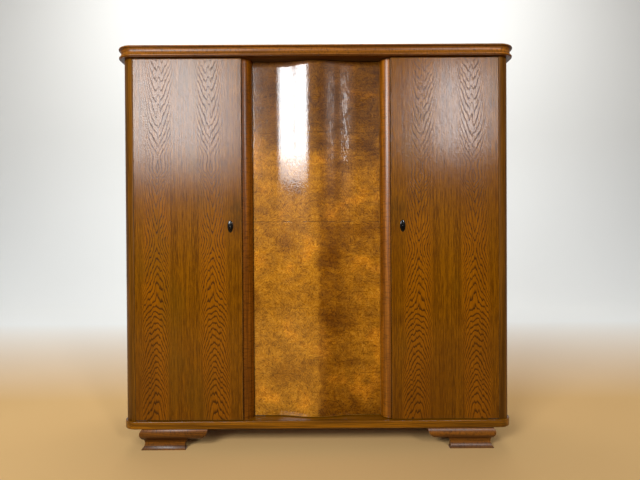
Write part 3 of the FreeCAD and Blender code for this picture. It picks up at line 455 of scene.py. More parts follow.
def foot_arch(outer, length, way):
    """The open space beside the leg, seen from the foot's face."""
    end = outer - length * way
    toe = end + wing_length * way
    past = end - foot_board * way
    return outline([
        (toe, -foot_board),
        (toe, 0, arch_radius * way),
        (toe - leg_spread * way, arch_high),
        (end + end_inset * way, arch_high, -end_radius * way),
        (end, foot_top),
        (end, foot_top + foot_board),
        (past, foot_top + foot_board),
        (past, -foot_board),
    ])


def mitred(piece, from_front):
    """Cuts the corner of a foot board at 45 degrees, on the side of the other board."""
    reach = foot_board * 2
    lead, far = (foot_outer + reach, foot_face - reach), (foot_outer - reach, foot_face + reach)
    third = (far[0], lead[1]) if from_front else (lead[0], far[1])
    carved(piece, extruded("mitre", [lead, far, third], -foot_board, foot_top + foot_board))


foot_back = foot_face + foot_board
for name, length, wall, way, part in (
        ("front_right_foot", foot_length, "x", 1, "front"),
        ("right_front_return", foot_side_length, "y", 1, "return"),
        ("right_rear_foot", foot_side_length, "y", -1, "rear")):
    if part == "front":
        board = extruded(name + "_finished", foot_section(foot_face, 1), foot_outer - length, foot_outer, "x")
        arch = extruded("arch", foot_arch(foot_outer, length, 1), foot_face - foot_board,
                        foot_back + foot_board, "y")
    else:
        start = foot_face if way > 0 else base_back_plane
        section = foot_section(foot_outer, -1)
        board = extruded(name + "_finished", section, *sorted((start, start + length * way)), "y")
        board_arch = foot_arch(start, length, -way)
        arch = extruded("arch", board_arch, foot_outer - foot_board * 2, foot_outer + foot_board, "x")
    carved(board, arch)
    if part != "rear":
        mitred(board, part == "return")
    smoothed(eased(board, foot_eased))
    twin_name = name.replace("right", "left")
    twin = mirrored(board, twin_name + "_finished")
    fitted(board, wall, "root", "foot_wood", foot_wood, name)
    fitted(twin, wall, "root", "foot_wood", foot_wood, twin_name)

# Glue blocks: plain softwood blocks in the feet's inner corners, screwed up into the base
# frame. The screws have slotted, domed heads of dull steel.
board_eased, plate_eased, fitting_eased = 0.0008, 0.0002, 0.0003
inside_wood = stained_wood("inside_wood", paint(196, 158, 108), paint(166, 122, 72), paint(205, 170, 120),
                           roughness=0.6, rings=0.3, wear=0.3)


def planed(node_name, along, body, slot, material, width=board_eased, shortest=0.006):
    """A board or fitting with the solid's own shape, its sharp edges eased."""
    piece = placed(node_name + "_finished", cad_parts[node_name].data.copy())
    for name in list(piece.data.attributes.keys()):
        if name.startswith("custom"):
            piece.data.attributes.remove(piece.data.attributes[name])
    eased(piece, width, shortest=shortest)
    smoothed(piece)
    fitted(piece, along, body, slot, material, node_name)


def inside_board(node_name, along):
    """A board that is left in its own pale colour."""
    planed(node_name, along, "root", "inside_wood", inside_wood)


inside_board("foot_blocks", "x")
steel, shader, where = finish_of("steel", metallic=1.0, specular_ior_level=0.5)
tarnish = ramp(mottle(where, (70, 70, 70), 5, 0.7), 0.4, 0.75)
brushed = mottle(where, (900, 900, 60), 2)
coated(shader, blended(tarnish, paint(142, 136, 126), paint(86, 74, 60)),
       calc("ADD", scaled(tarnish, 0.3, 0.25), product(brushed, 0.12)))
raised(shader, brushed, 0.00005, 0.4)

# One screw, repeated on points: a domed head with a slot, and a shank
screw_tree = bpy.data.node_groups.new("Slotted screws", "GeometryNodeTree")
for socket, kind in (
        ("Points", "Geometry"), ("Head radius", "Float"), ("Head height", "Float"), ("Shank radius", "Float"),
        ("Shank length", "Float"), ("Slot width", "Float"), ("Drive", "Vector"), ("Steel", "Material"),
        ("Screws", "Geometry")):
    screw_tree.interface.new_socket(name=socket, in_out="OUTPUT" if socket == "Screws" else "INPUT",
                                    socket_type="NodeSocket" + kind)
given = node(screw_tree, "NodeGroupInput").outputs
wanted = node(screw_tree, "NodeGroupOutput").inputs


def made_by(kind, links, **settings):
    """What one node of the screw makes."""
    return node(screw_tree, kind, links, **settings).outputs[0]


def changed(part, **change):
    """A part of the screw, moved or stretched."""
    return made_by("GeometryNodeTransform", {"Geometry": part, **change})


double = product(given["Head radius"], 4.0)
dome = made_by("GeometryNodeMeshUVSphere", {"Segments": 20, "Rings": 10, "Radius": given["Head radius"]})
flatter = calc("DIVIDE", given["Head height"], given["Head radius"])
dome = changed(dome, Scale=combined(screw_tree, X=1.0, Y=1.0, Z=flatter))
wood_side = made_by("GeometryNodeMeshCube", {"Size": combined(screw_tree, X=double, Y=double, Z=double)})
wood_side = changed(wood_side, Translation=combined(screw_tree, Z=product(double, 0.5)))
slot = made_by("GeometryNodeMeshCube", {
    "Size": combined(screw_tree, X=double, Y=given["Slot width"], Z=given["Head height"])})
slot = changed(slot, Translation=combined(screw_tree, Z=product(given["Head height"], -1.0)))
head = node(screw_tree, "GeometryNodeMeshBoolean", {"Mesh 1": dome}, operation="DIFFERENCE")
for tool in (wood_side, slot):
    feed(tool, head.inputs["Mesh 2"])
shank = made_by("GeometryNodeMeshCylinder", {
    "Vertices": 16, "Radius": given["Shank radius"], "Depth": given["Shank length"]})
shank = changed(shank, Translation=combined(screw_tree, Z=product(given["Shank length"], 0.5)))
screw = node(screw_tree, "GeometryNodeJoinGeometry")
for part in (shank, head.outputs["Mesh"]):
    feed(part, screw.inputs["Geometry"])
turn = made_by("FunctionNodeRandomValue", {"Min": (0, 0, 0), "Max": (0, 0, math.pi), "Seed": 7},
               data_type="FLOAT_VECTOR")
spin = made_by("FunctionNodeEulerToRotation", {0: turn})
aim = made_by("FunctionNodeAlignRotationToVector", {"Vector": given["Drive"]}, axis="Z")
both = made_by("FunctionNodeRotateRotation", {"Rotation": aim, "Rotate By": spin}, rotation_space="LOCAL")
copies = made_by("GeometryNodeInstanceOnPoints", {
    "Points": given["Points"], "Instance": screw.outputs["Geometry"], "Rotation": both})
real = made_by("GeometryNodeRealizeInstances", {"Geometry": copies})
feed(made_by("GeometryNodeSetMaterial", {"Geometry": real, "Material": given["Steel"]}), wanted["Screws"])
screw_sizes = {
    "wood": {"Head radius": 0.0036, "Head height": 0.002, "Shank radius": 0.00175, "Slot width": 0.0009},
    "frame": {"Head radius": 0.005, "Head height": 0.003, "Shank radius": 0.0025, "Slot width": 0.0012},
}


def screw_places(cad_node, head_plane, drive):
    """The middles of the separate screws of a node, at the plane that their heads sit on."""
    axis = next(k for k in range(3) if drive[k])
    mesh = bmesh.new()
    mesh.from_mesh(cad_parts[cad_node].data)
    bmesh.ops.remove_doubles(mesh, verts=mesh.verts, dist=1e-6)
    places, seen = [], set()
    for vertex in mesh.verts:
        if vertex in seen:
            continue
        island, queue = [], [vertex]
        seen.add(vertex)
        while queue:
            spot = queue.pop()
            island.append(spot.co.copy())
            for edge in spot.link_edges:
                other = edge.other_vert(spot)
                if other not in seen:
                    seen.add(other)
                    queue.append(other)
        low = Vector([min(spot[k] for spot in island) for k in range(3)])
        high = Vector([max(spot[k] for spot in island) for k in range(3)])
        middle = (low + high) / 2
        middle[axis] = head_plane
        places.append(middle)
    mesh.free()
    return places


def screwed(cad_node, kind, length, drive, head_plane, body):
    """The screws of a node, all of one kind and driven one way, as one plain mesh."""
    data = bpy.data.meshes.new(cad_node + "_finished")
    data.from_pydata([tuple(place) for place in screw_places(cad_node, head_plane, drive)], [], [])
    piece = placed(cad_node + "_finished", data)
    modifier = piece.modifiers.new("screws", "NODES")
    modifier.node_group = screw_tree
    values = {**screw_sizes[kind], "Shank length": length, "Drive": drive, "Steel": steel}
    for item in screw_tree.interface.items_tree:
        if item.in_out == "INPUT" and item.name in values:
            modifier[item.identifier] = values[item.name]
    settled(piece)
    piece.data.shade_smooth()
    piece.data.set_sharp_from_angle(angle=SHARP)
    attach(piece, body)
    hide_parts(cad_node)


def fitting(node_name, along, body, shortest=0.006):
    """A steel fitting with the solid's own shape."""
    planed(node_name, along, body, "steel", steel, width=fitting_eased, shortest=shortest)


frame_screw_length, panel_screw_length, lock_screw_length = 0.070, 0.016, 0.021
screwed("foot_screws", "frame", frame_screw_length, (0, 0, 1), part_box("foot_blocks")[0].z, "root")

# Base frame: a flat frame of stained hardwood. Its front rail runs round both front
# corners and shows a softly rounded edge; the side rails follow it, and the rear rail
# is a plain board behind.
base_corner, base_edge = 0.060, 0.003
carcass_tones = paint(112, 68, 6), paint(70, 38, 0), paint(150, 100, 40)
carcass_wood = stained_wood("carcass_wood", *carcass_tones, roughness=0.4, gloss=0.14, rings=0.35)
base_wood = stained_wood("base_wood", paint(136, 82, 4), paint(88, 50, 0), paint(180, 124, 48), roughness=0.22,
                         dust=0.0)
base_low, base_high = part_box("base_front")
half, face, rear = base_high.x, base_low.y, base_high.y
plan = outline([
    (-half, rear), (-half, face + base_corner, base_corner), (-half + base_corner, face),
    (half - base_corner, face, base_corner), (half, face + base_corner), (half, rear),
])
front_rail = extruded("base_front_finished", plan, base_low.z, base_high.z)
mesh = bmesh.new()
mesh.from_mesh(front_rail.data)
rounded = [edge for edge in mesh.edges
           if abs(edge.verts[0].co.z - edge.verts[1].co.z) < board_eased
           and min(spot.co.y for spot in edge.verts) < rear - board_eased]
bmesh.ops.bevel(mesh, geom=rounded, offset=base_edge, segments=5, profile=0.5, affect="EDGES",
                clamp_overlap=True)
mesh.to_mesh(front_rail.data)
mesh.free()
fitted(smoothed(front_rail), "x", "root", "carcass_wood", base_wood, "base_front")
for side in ("left", "right"):
    rail_low, rail_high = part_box(f"base_{side}")
    way = 1 if side == "right" else -1
    outer, inner = (rail_high.x, rail_low.x) if way > 0 else (rail_low.x, rail_high.x)
    curve = base_edge * way
    section = outline([
        (inner, rail_low.z), (outer - curve, rail_low.z, curve), (outer, rail_low.z + base_edge),
        (outer, rail_high.z - base_edge, curve), (outer - curve, rail_high.z), (inner, rail_high.z),
    ])
    rail = extruded(f"base_{side}_finished", section, rail_low.y, rail_high.y, "y")
    fitted(smoothed(rail), "y", "root", "carcass_wood", base_wood, f"base_{side}")
inside_board("base_back", "x")

# Carcass: floor and top boards, two stained sides, a partition, and quarter-round posts
# at the front corners. Everything inside is left in its own pale colour.
for name, along in (("floor_board", "x"), ("top_board", "x"), ("partition", "z")):
    inside_board(name, along)
side_low, side_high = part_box("right_side")
side_stained = side_low.x + (side_high.x - side_low.x) / 4
side_wood = stained_wood("side_wood", *carcass_tones, roughness=0.4, rings=0.35, bare=side_stained)
for name in ("left_side", "right_side"):
    planed(name, "z", "root", "carcass_wood", side_wood)
post_low, post_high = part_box("right_corner_post")
post = extruded("right_corner_post_finished", outline([
    (post_low.x, post_low.y, post_high.x - post_low.x), (post_high.x, post_high.y), (post_low.x, post_high.y),
]), post_low.z, post_high.z)
smoothed(eased(post, board_eased))
for piece, side in ((mirrored(post, "left_corner_post_finished"), "left"), (post, "right")):
    fitted(piece, "z", "root", "carcass_wood", carcass_wood, f"{side}_corner_post")

# Back: three plywood panels in a rebate, screwed to the carcass, and a muntin that
# covers the joint between two of them.
stain_line, stain_soft = 0.19, 0.004
plywood, shader, where = finish_of("plywood", specular_ior_level=0.3)
grain = node(where.id_data, "ShaderNodeAttribute", attribute_name="grain").outputs["Vector"]
waves = mottle(grain, (4.5, 4.5, 0.7), 2, 0.5, 0.6)
bands = calc("FRACT", product(waves, 16.0))
swirl = ramp(calc("PINGPONG", bands, 0.5), 0.0, 0.5)
ticks = mottle(grain, (1100, 1100, 45), 2)
colour = blended(product(swirl, 0.34), paint(182, 146, 100), paint(150, 110, 66))
colour = blended(ramp(ticks, 0.52, 0.75, 0.0, 0.35), colour, paint(112, 78, 42))
stains = mottle(where, (1.8, 1.8, 1.8), 4, 0.6)
colour = blended(ramp(stains, 0.45, 0.8, 0.0, 0.4), colour, paint(120, 92, 60))
front = axes(where)["Y"]
colour = blended(ramp(front, -stain_line, -stain_line + stain_soft, 0.92, 0.0), colour, paint(58, 32, 6))
coated(shader, colour, scaled(ticks, 0.2, 0.6))
raised(shader, ticks, 0.0002, 0.4)
for name in ("left_back_panel", "centre_back_panel", "right_back_panel"):
    planed(name, "z", "root", "back_wood", plywood)
inside_board("back_muntin", "z")
panel_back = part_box("centre_back_panel")[1].y
screwed("back_screws", "wood", panel_screw_length, (0, -1, 0), panel_back, "root")

# Pillars: quarter-round posts of stained hardwood on each side of the centre door.
# The left one is fixed, and the right one is the closing post of the centre door, its wood painted lighter
# as a painted highlight of the window light that falls on it. Both have a steel strike plate let in for the
# locks of the outer doors.
mortise_depth, bolt_gap = 0.013, 0.0005
pillar_wood = stained_wood("pillar_wood", paint(128, 70, 2), paint(84, 42, 0), paint(160, 102, 44),
                           roughness=0.26, gloss=0.22, rings=0.2, flecks=(34, 34, 150))
# The closing post's wood is a lighter copy of the pillar wood: painted highlight of the window light on its
# round face
lit_closing_wood = stained_wood("closing_post_painted_lit_wood", paint(150, 88, 12), paint(104, 54, 0), paint(172, 116, 54),
                            roughness=0.3, gloss=0.4, rings=0.2, flecks=(34, 34, 150))


def block(name, low, high):
    """A plain cutter between two corners."""
    plan = [(low.x, low.y), (high.x, low.y), (high.x, high.y), (low.x, high.y)]
    return extruded(name, plan, low.z, high.z)


def pillar(side, body, wood):
    """A square post with its front inner edge a quarter round."""
    low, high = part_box(f"{side}_pillar")
    radius = high.x - low.x
    inner, outer = (low.x, high.x) if side == "right" else (high.x, low.x)
    way = 1 if side == "right" else -1
    piece = extruded(f"{side}_pillar_finished", outline([
        (inner, high.y), (inner, low.y + radius, radius * way), (outer, low.y), (outer, high.y),
    ]), low.z, high.z)
    carved(piece, block("seat", *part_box(f"{side}_strike_plate")))
    bolt_low, bolt_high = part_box(f"{side}_lock_bolt")
    room = Vector((0, bolt_gap, bolt_gap))
    far = outer - mortise_depth * way
    bolt_low.x, bolt_high.x = min(far, outer), max(far, outer)
    carved(piece, block("mortise", bolt_low - room, bolt_high + room))
    smoothed(eased(piece, board_eased, shortest=0.02))
    fitted(piece, "z", body, "pillar_wood", wood, f"{side}_pillar")
    planed(f"{side}_strike_plate", "z", body, "steel", steel, width=plate_eased, shortest=0.003)


pillar("left", "root", pillar_wood)
pillar("right", "centre_door", lit_closing_wood)

# Inside: four shelves on battens in the left part, a hat shelf on the right, and a
# turned beech rail below it in two steel sockets, held up at its middle by a hanger.
for number in range(1, 5):
    inside_board(f"shelf_{number}", "x")
inside_board("shelf_battens", "y")
inside_board("hat_shelf", "x")
rail_wood = stained_wood("rail_wood", paint(206, 164, 108), paint(180, 134, 80), paint(214, 178, 126),
                         roughness=0.45, rings=0.2)
rail_low, rail_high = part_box("garment_rail")
rail_radius = (rail_high.z - rail_low.z) / 2
rail_centre = (rail_low + rail_high) / 2
turned_section = outline([(rail_centre.y + rail_radius * way, rail_centre.z, rail_radius) for way in (-1, 1)])
rail = extruded("garment_rail_finished", turned_section, rail_low.x, rail_high.x, "x")
smoothed(eased(rail, board_eased))
fitted(rail, "x", "root", "inside_wood", rail_wood, "garment_rail")
for name in ("rail_sockets", "rail_hanger"):
    fitting(name, "x", "root", 0.008)

# Cornice: a frame of moulded hardwood round the top. The section is a round nose, a
# hollow, a quirk and a bead. The front length runs round both corners, and a thin panel
# and a rear rail close the top.
nose_radius, nose_step, bead_radius, bead_inset, bead_rise = 0.0045, 0.0015, 0.005, 0.001, 0.001
cove_bottom, cove_inset, hollow_radius, quirk_inset = 0.013, 0.007, 0.027, 0.008
moulding_width, cornice_corner = 0.045, 0.079
cornice_wood = stained_wood("cornice_wood", paint(152, 90, 16), paint(96, 52, 4), paint(196, 134, 60),
                            roughness=0.33, gloss=0.22, rings=0.35, flecks=(60, 60, 130))
crown_low, crown_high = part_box("cornice_front")
nose_low = crown_high.z - nose_radius * 2
bead_low = crown_low.z + bead_rise
section = outline([
    (nose_radius, crown_high.z, nose_radius),
    (0, nose_low + nose_radius, nose_radius),
    (nose_radius, nose_low),
    (nose_radius + nose_step, nose_low, -hollow_radius),
    (cove_inset, crown_low.z + cove_bottom),
    (quirk_inset, bead_low + bead_radius * 2),
    (bead_inset + bead_radius, bead_low + bead_radius * 2, bead_radius),
    (bead_inset, bead_low + bead_radius, bead_radius),
    (bead_inset + bead_radius, bead_low),
    (bead_inset + bead_radius, crown_low.z),
    (moulding_width, crown_low.z),
    (moulding_width, crown_high.z),
])


def moulded(name, stations):
    """The section swept along stations, each a point on the nose line and the way out from it."""
    mesh = bmesh.new()
    rings = [[mesh.verts.new((*(spot - out * inset), z)) for inset, z in section] for spot, out in stations]
    for first, second in zip(rings, rings[1:]):
        bridged(mesh, first, second)
    mesh.faces.new(rings[0])
    mesh.faces.new(rings[-1])
    return smoothed(object_from(name, mesh))


nose_side, nose_face, corner_y = crown_high.x, crown_low.y, crown_high.y
stations = []
corner_steps = 24
for way in (-1, 1):
    centre = Vector(((nose_side - cornice_corner) * way, nose_face + cornice_corner))
    for step in range(corner_steps + 1):
        angle = math.pi / 2 * (step if way > 0 else corner_steps - step) / corner_steps
        out = Vector((math.sin(angle) * way, -math.cos(angle)))
        stations.append((centre + out * cornice_corner, out))
front_moulding = moulded("cornice_front_finished", stations)
fitted(front_moulding, "x", "root", "cornice_wood", cornice_wood, "cornice_front")
corner_x = nose_side - cornice_corner
grain = front_moulding.data.attributes["grain"].data
for vertex, row in zip(front_moulding.data.vertices, grain):
    beyond = abs(vertex.co.x) - corner_x
    if beyond > 0:
        ahead = corner_y - vertex.co.y
        run = corner_x + cornice_corner * math.atan2(beyond, ahead)
        depth = nose_face + cornice_corner - math.hypot(beyond, ahead)
        row.vector += Vector((depth - vertex.co.y, 0, math.copysign(run, vertex.co.x) - vertex.co.x))
side_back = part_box("cornice_right")[1].y
right_moulding = moulded("cornice_right_finished", [
    (Vector((nose_side, y)), Vector((1, 0))) for y in (corner_y, side_back)])
left_moulding = mirrored(right_moulding, "cornice_left_finished")
fitted(right_moulding, "y", "root", "cornice_wood", cornice_wood, "cornice_right")
fitted(left_moulding, "y", "root", "cornice_wood", cornice_wood, "cornice_left")
inside_board("cornice_back", "x")
planed("cornice_panel", "x", "root", "back_wood", plywood, shortest=0.02)

# Pivot hinges: each door turns on two steel pins at the top and bottom of its hinge edge.
# The plates lie in the gaps under and over the door.
iron, shader, where = finish_of("dark_iron", metallic=0.9)
crust = mottle(where, (240, 240, 240), 4, 0.7)
coated(shader, blended(ramp(crust, 0.35, 0.7), paint(52, 46, 42), paint(92, 74, 58)),
       ramp(crust, 0.3, 0.7, 0.4, 0.65))
for name, body in (("carcass_pivots", "root"), ("left_door_pivots", "left_door"),
                   ("centre_door_pivots", "centre_door"), ("right_door_pivots", "right_door")):
    planed(name, "x", body, "steel", iron, width=plate_eased, shortest=0.004)

# Outer doors: flat boards with satin oak veneer in two mirrored leaves. Each leaf has a
# column of pointed arches, upside down above the middle and upright below it, between
# fields of straight grain.
leaf_group, given, wanted = shader_group("Oak leaf figure", {
    "Position": None, "Seam": 0.0, "Turn": 0.97, "Shift": 0.0,
}, ["Lines", "Column", "Streaks", "Pores", "Seam line"])
door_eased = 0.0016
hand_place, hand_spread = (0.372, 1.10), (14, 0, 9)
column_foot, column_lean = 0.149, -0.0203
arch_step_high, arch_step_low, arch_turn = 0.046, 0.033, 0.02
eye_level, eye_depth, eye_half = 0.33, 1.9, 0.045
flank_step, flank_close, flank_power = (0.022, 0.0145), (0.047, 0.066), 3.0
tip_round, lobe_half, lobe_depth = 0.005, 0.013, 1.15
place = axes(given["Position"])
from_seam = calc("SUBTRACT", place["X"], given["Seam"])
away = calc("ABSOLUTE", from_seam)
folded = vectors("ADD", combined(leaf_group, X=away, Y=place["Y"], Z=place["Z"]),
                 combined(leaf_group, Z=given["Shift"]))
column = scaled(place["Z"], column_lean, column_foot)
sway = scaled(mottle(folded, (0, 0, 2.6), 1), 0.03, -0.015)
across = calc("ADD", calc("SUBTRACT", away, column), sway)
rise = calc("SUBTRACT", place["Z"], given["Turn"])
soft = ramp(rise, -0.2, 0.1, tip_round, 0.0)
flank = scaled(across, across, product(soft, soft))
flank = calc("SUBTRACT", calc("SQRT", flank), soft)
climb = calc("SQRT", scaled(rise, rise, arch_turn ** 2))
step_size = ramp(rise, -0.2, 0.2, arch_step_low, arch_step_high)
climb = calc("DIVIDE", climb, step_size)
spread = calc("DIVIDE", flank, ramp(rise, -0.2, 0.1, *flank_close))
spread = calc("POWER", spread, flank_power)
spread = calc("ADD", spread, calc("DIVIDE", flank, ramp(rise, -0.2, 0.1, *flank_step)))
spread = product(spread, ramp(rise, -0.2, 0.2, 1.0, 0.93))
lobe = product(ramp(flank, 0.0, lobe_half, 1.0, 0.0), ramp(rise, 0.5, 0.62, 0.0, lobe_depth))
spread = calc("ADD", spread, lobe)
from_eye = calc("DIVIDE", calc("SUBTRACT", rise, eye_level), eye_half)
eye = calc("EXPONENT", product(from_eye, from_eye, -1.0))
climb = scaled(eye, eye_depth, climb)
jag = calc("SUBTRACT", mottle(folded, (72, 0, 9), 1), 0.5)
jag = product(jag, ramp(rise, -0.15, 0.3, 1.15, 1.0))
ragged = calc("SUBTRACT", mottle(folded, (150, 0, 30), 2, 0.6), 0.5)
ragged = product(ragged, ramp(rise, 0.1, 0.5, 0.7, 0.18))
drift = scaled(mottle(folded, (11, 0, 3.6), 1), 5.0, -2.5)
rings = calc("ADD", calc("SUBTRACT", spread, climb), calc("ADD", jag, drift))
saw = calc("FRACT", calc("ADD", rings, ragged))
late = ramp(rise, -0.1, 0.25, 0.4, 0.28)
tip = product(ramp(flank, 0.004, 0.02, 1.0, 0.0), ramp(rise, 0.3, 0.5))
late = product(late, scaled(tip, -0.5, 1.0))
dark_line = calc("MAXIMUM", ramp(saw, 0.0, late, 1.0, 0.0), ramp(saw, scaled(tip, 0.05, 0.88), 1.0))
column_mask = ramp(flank, 0.04, 0.075, 1.0, 0.0)
patchy = mottle(folded, (22, 0, 6), 2)
strength = product(scaled(column_mask, 0.75, 0.25), ramp(patchy, 0.28, 0.5, 0.68, 0.95),
                   ramp(rise, 0.05, 0.5, 1.0, 0.8))
feed(product(dark_line, strength), wanted["Lines"])
feed(product(column_mask, ramp(rise, 0.0, 0.3, 1.0, 0.1)), wanted["Column"])
long_streaks = mottle(folded, (120, 0, 1.4), 3, 0.6)
short_streaks = mottle(given["Position"], (330, 0, 14), 3, 0.7)
feed(calc("ADD", product(long_streaks, 0.35), product(short_streaks, 0.65)), wanted["Streaks"])
pits = mottle(given["Position"], (1300, 1300, 55), 1)
feed(ramp(pits, 0.56, 0.7), wanted["Pores"])
feed(ramp(away, 0.0003, 0.0012, 1.0, 0.0), wanted["Seam line"])


def oak_veneer(name, seam, turn, shift, way):
    """The satin oak veneer of one outer door, with the dark marks of hands beside its keyhole."""
    material, shader, where = finish_of(name, specular_ior_level=0.2)
    got = grouped(leaf_group, Position=where, Seam=seam, Turn=turn, Shift=shift)
    ground = blended(ramp(got["Streaks"], 0.4, 0.6), paint(80, 43, 0), paint(128, 77, 0))
    ground = blended(product(got["Column"], 0.55), ground, paint(144, 82, 0))
    zones = mottle(where, (5, 5, 1.7), 3)
    ground = blended(ramp(zones, 0.45, 0.7, 0.0, 0.45), ground, paint(98, 54, 0))
    ground = blended(ramp(zones, 0.32, 0.45, 0.4, 0.0), ground, paint(98, 64, 4))
    high = axes(where)["Z"]
    ground = blended(ramp(high, 0.1, 1.1, 1.0, 0.0), ground, paint(228, 220, 190), "MULTIPLY")
    handled = vectors("SUBTRACT", where, (hand_place[0] * way, 0, hand_place[1]))
    handled = vectors("MULTIPLY", handled, hand_spread)
    handled = node(where.id_data, "ShaderNodeVectorMath", {0: handled}, operation="LENGTH").outputs["Value"]
    handled = product(ramp(handled, 0.0, 1.0, 1.0, 0.0),
                   ramp(mottle(where, (24, 24, 14), 4, 0.6), 0.4, 0.6, 0.2, 0.75))
    ground = blended(handled, ground, paint(66, 42, 8))
    depth = scaled(got["Pores"], 0.3, product(got["Lines"], 0.95), clamp=True)
    depth = calc("MAXIMUM", depth, product(got["Seam line"], 0.2))
    colour = blended(depth, ground, paint(44, 20, 0))
    worn = grouped(wear_group, Position=where, Amount=0.75)["Worn"]
    open_grain = product(got["Lines"], ramp(high, 1.15, 1.45, 0.08, 0.34))
    coated(shader, blended(worn, colour, paint(178, 132, 70)), calc("ADD", open_grain, 0.175))
    relief = calc("SUBTRACT", product(got["Streaks"], 1.2), depth)
    relief = scaled(mottle(where, (420, 420, 190), 2, 0.6), 0.9, relief)
    raised(shader, relief, 0.0003, 0.42)
    return material


for side, way, seam, turn, shift in (("left", -1, -0.612, 0.975, -0.612), ("right", 1, 0.605, 0.93, -0.58)):
    veneer = oak_veneer(f"oak_veneer_{side}", seam, turn, shift, way)
    planed(f"{side}_door_panel", "z", f"{side}_door", "oak_veneer", veneer, width=door_eased, shortest=0.02)

# Escutcheons: domed ovals of polished black horn on the outer doors, each with the hole
# for the key of its door.
escutcheon_rim, escutcheon_sides, escutcheon_rings = 0.0012, 96, 14
keyhole_radius, keyhole_slot_half, keyhole_slot_long = 0.0029, 0.0012, 0.010
horn, shader, where = finish_of("black_horn", specular_ior_level=0.1, coat_weight=0.4, coat_roughness=0.04)
veins = mottle(where, (160, 160, 60), 4, 0.6, 1.5)
coated(shader, blended(ramp(veins, 0.45, 0.75, 0.0, 0.5), paint(5, 4, 3), paint(34, 22, 14)),
       ramp(veins, 0.3, 0.8, 0.14, 0.3))


def keyhole_point(angle):
    """The keyhole's edge in a direction from the middle of its round part."""
    out = Vector((math.cos(angle), math.sin(angle)))
    if out.y < 0 and abs(out.x) * keyhole_radius < keyhole_slot_half:
        reach = min(keyhole_slot_half / max(abs(out.x), 1e-9), keyhole_slot_long / -out.y)
        return out * max(reach, keyhole_radius)
    return out * keyhole_radius


def escutcheon(side):
    """The oval: a thin upright rim, a dome over it, and the keyhole straight through it."""
    low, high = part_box(f"{side}_escutcheon")
    centre = (low + high) / 2
    half_wide, half_tall, deep = (high.x - low.x) / 2, (high.z - low.z) / 2, high.y - low.y
    shares = [step / escutcheon_rings for step in range(escutcheon_rings + 1)]
    levels = [(s, escutcheon_rim + (deep - escutcheon_rim) * math.sqrt(1 - (1 - s) ** 2)) for s in shares]
    mesh = bmesh.new()
    rings = []
    for share, height in [(0, 0.0), *levels, (1, deep * 0.5), (1, 0.0)]:
        ring = []
        for number in range(escutcheon_sides):
            angle = 2 * math.pi * (number + 0.5) / escutcheon_sides
            outer = Vector((half_wide * math.cos(angle), half_tall * math.sin(angle)))
            spot = outer.lerp(keyhole_point(angle), share)
            ring.append(mesh.verts.new((centre.x + spot.x, high.y - height, centre.z + spot.y)))
        rings.append(ring)
    for first, second in zip(rings, [*rings[1:], rings[0]]):
        bridged(mesh, first, second)
    piece = smoothed(object_from(f"{side}_escutcheon_finished", mesh))
    fitted(piece, "z", f"{side}_door", "black_horn", horn, f"{side}_escutcheon")


# Locks: steel box locks screwed to the backs of the outer doors, each with a key pin
# and a bolt that slides out into a strike plate.
for side in ("left", "right"):
    escutcheon(side)
    fitting(f"{side}_lock_case", "z", f"{side}_door", 0.004)
    fitting(f"{side}_lock_bolt", "x", f"{side}_lock_bolt")
    screw_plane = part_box(f"{side}_lock_case")[1].y
    screwed(f"{side}_lock_screws", "wood", lock_screw_length, (0, -1, 0), screw_plane, f"{side}_door")

# Centre door: a board of even thickness whose middle bows forward, with high gloss burr
# veneer in mirrored leaves. The leaves meet at the middle and at thin level joints. Two
# bores take the pins that the door turns on.
centre_flat, centre_thick, centre_eased, hinge_bevel = 0.101, 0.022, 0.0012, 0.007
pin_x, pin_y, bore_radius, bore_depth, bore_sides = -0.289, -0.2045, 0.003, 0.012, 32
door_low, door_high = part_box("centre_door_panel")
pillar_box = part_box("right_pillar")
edge_face = pillar_box[0].y + (pillar_box[1].x - pillar_box[0].x)
bow = edge_face - door_low.y
reach = door_high.x - centre_flat
bow_radius = (reach ** 2 + bow ** 2) / (4 * bow)
turn_x, turn_y = reach / 2, edge_face - bow / 2
inner_x = turn_x - turn_x * centre_thick / bow_radius
inner_y = turn_y + (bow_radius - bow / 2) * centre_thick / bow_radius
back_face = edge_face + centre_thick
arc_step = math.radians(1.0)
panel = extruded("centre_door_panel_finished", outline([
    (door_low.x, edge_face), (-reach, edge_face, -bow_radius), (-turn_x, turn_y, bow_radius),
    (turn_x, turn_y, -bow_radius), (reach, edge_face), (door_high.x, edge_face), (door_high.x, back_face),
    (reach, back_face, bow_radius + centre_thick), (inner_x, inner_y, -(bow_radius - centre_thick)),
    (-inner_x, inner_y, bow_radius + centre_thick), (-reach, back_face),
    (door_low.x + hinge_bevel, back_face), (door_low.x, back_face - hinge_bevel),
]), door_low.z, door_high.z)
eased(panel, centre_eased)
bore_turns = [2 * math.pi * step / bore_sides for step in range(bore_sides)]
bore_ring = [(pin_x + bore_radius * math.cos(turn), pin_y + bore_radius * math.sin(turn))
             for turn in bore_turns]
for end in (door_low.z, door_high.z):
    carved(panel, extruded("bore", bore_ring, end - bore_depth, end + bore_depth))
smoothed(panel)
burr, shader, where = finish_of("burr_veneer", specular_ior_level=0.1, coat_roughness=0.05, coat_ior=1.5)
burr_seam = -0.006
leaf_joints = ((1.481, 0.8), (1.061, 1.0), (0.651, 0.4), (0.339, 0.5))
place = axes(where)
from_seam = calc("SUBTRACT", place["X"], burr_seam)
folded = combined(where.id_data, X=calc("ABSOLUTE", from_seam), Y=0.0, Z=place["Z"])
clusters = mottle(where, (13, 13, 20), 4, 0.65, 0.8)
clouds = mottle(where, (4.5, 4.5, 5.5), 3, 0.55)
ripple = mottle(where, (18, 18, 105), 3, 0.65, 1.0)
grit = mottle(folded, (300, 300, 260), 2, 0.7)


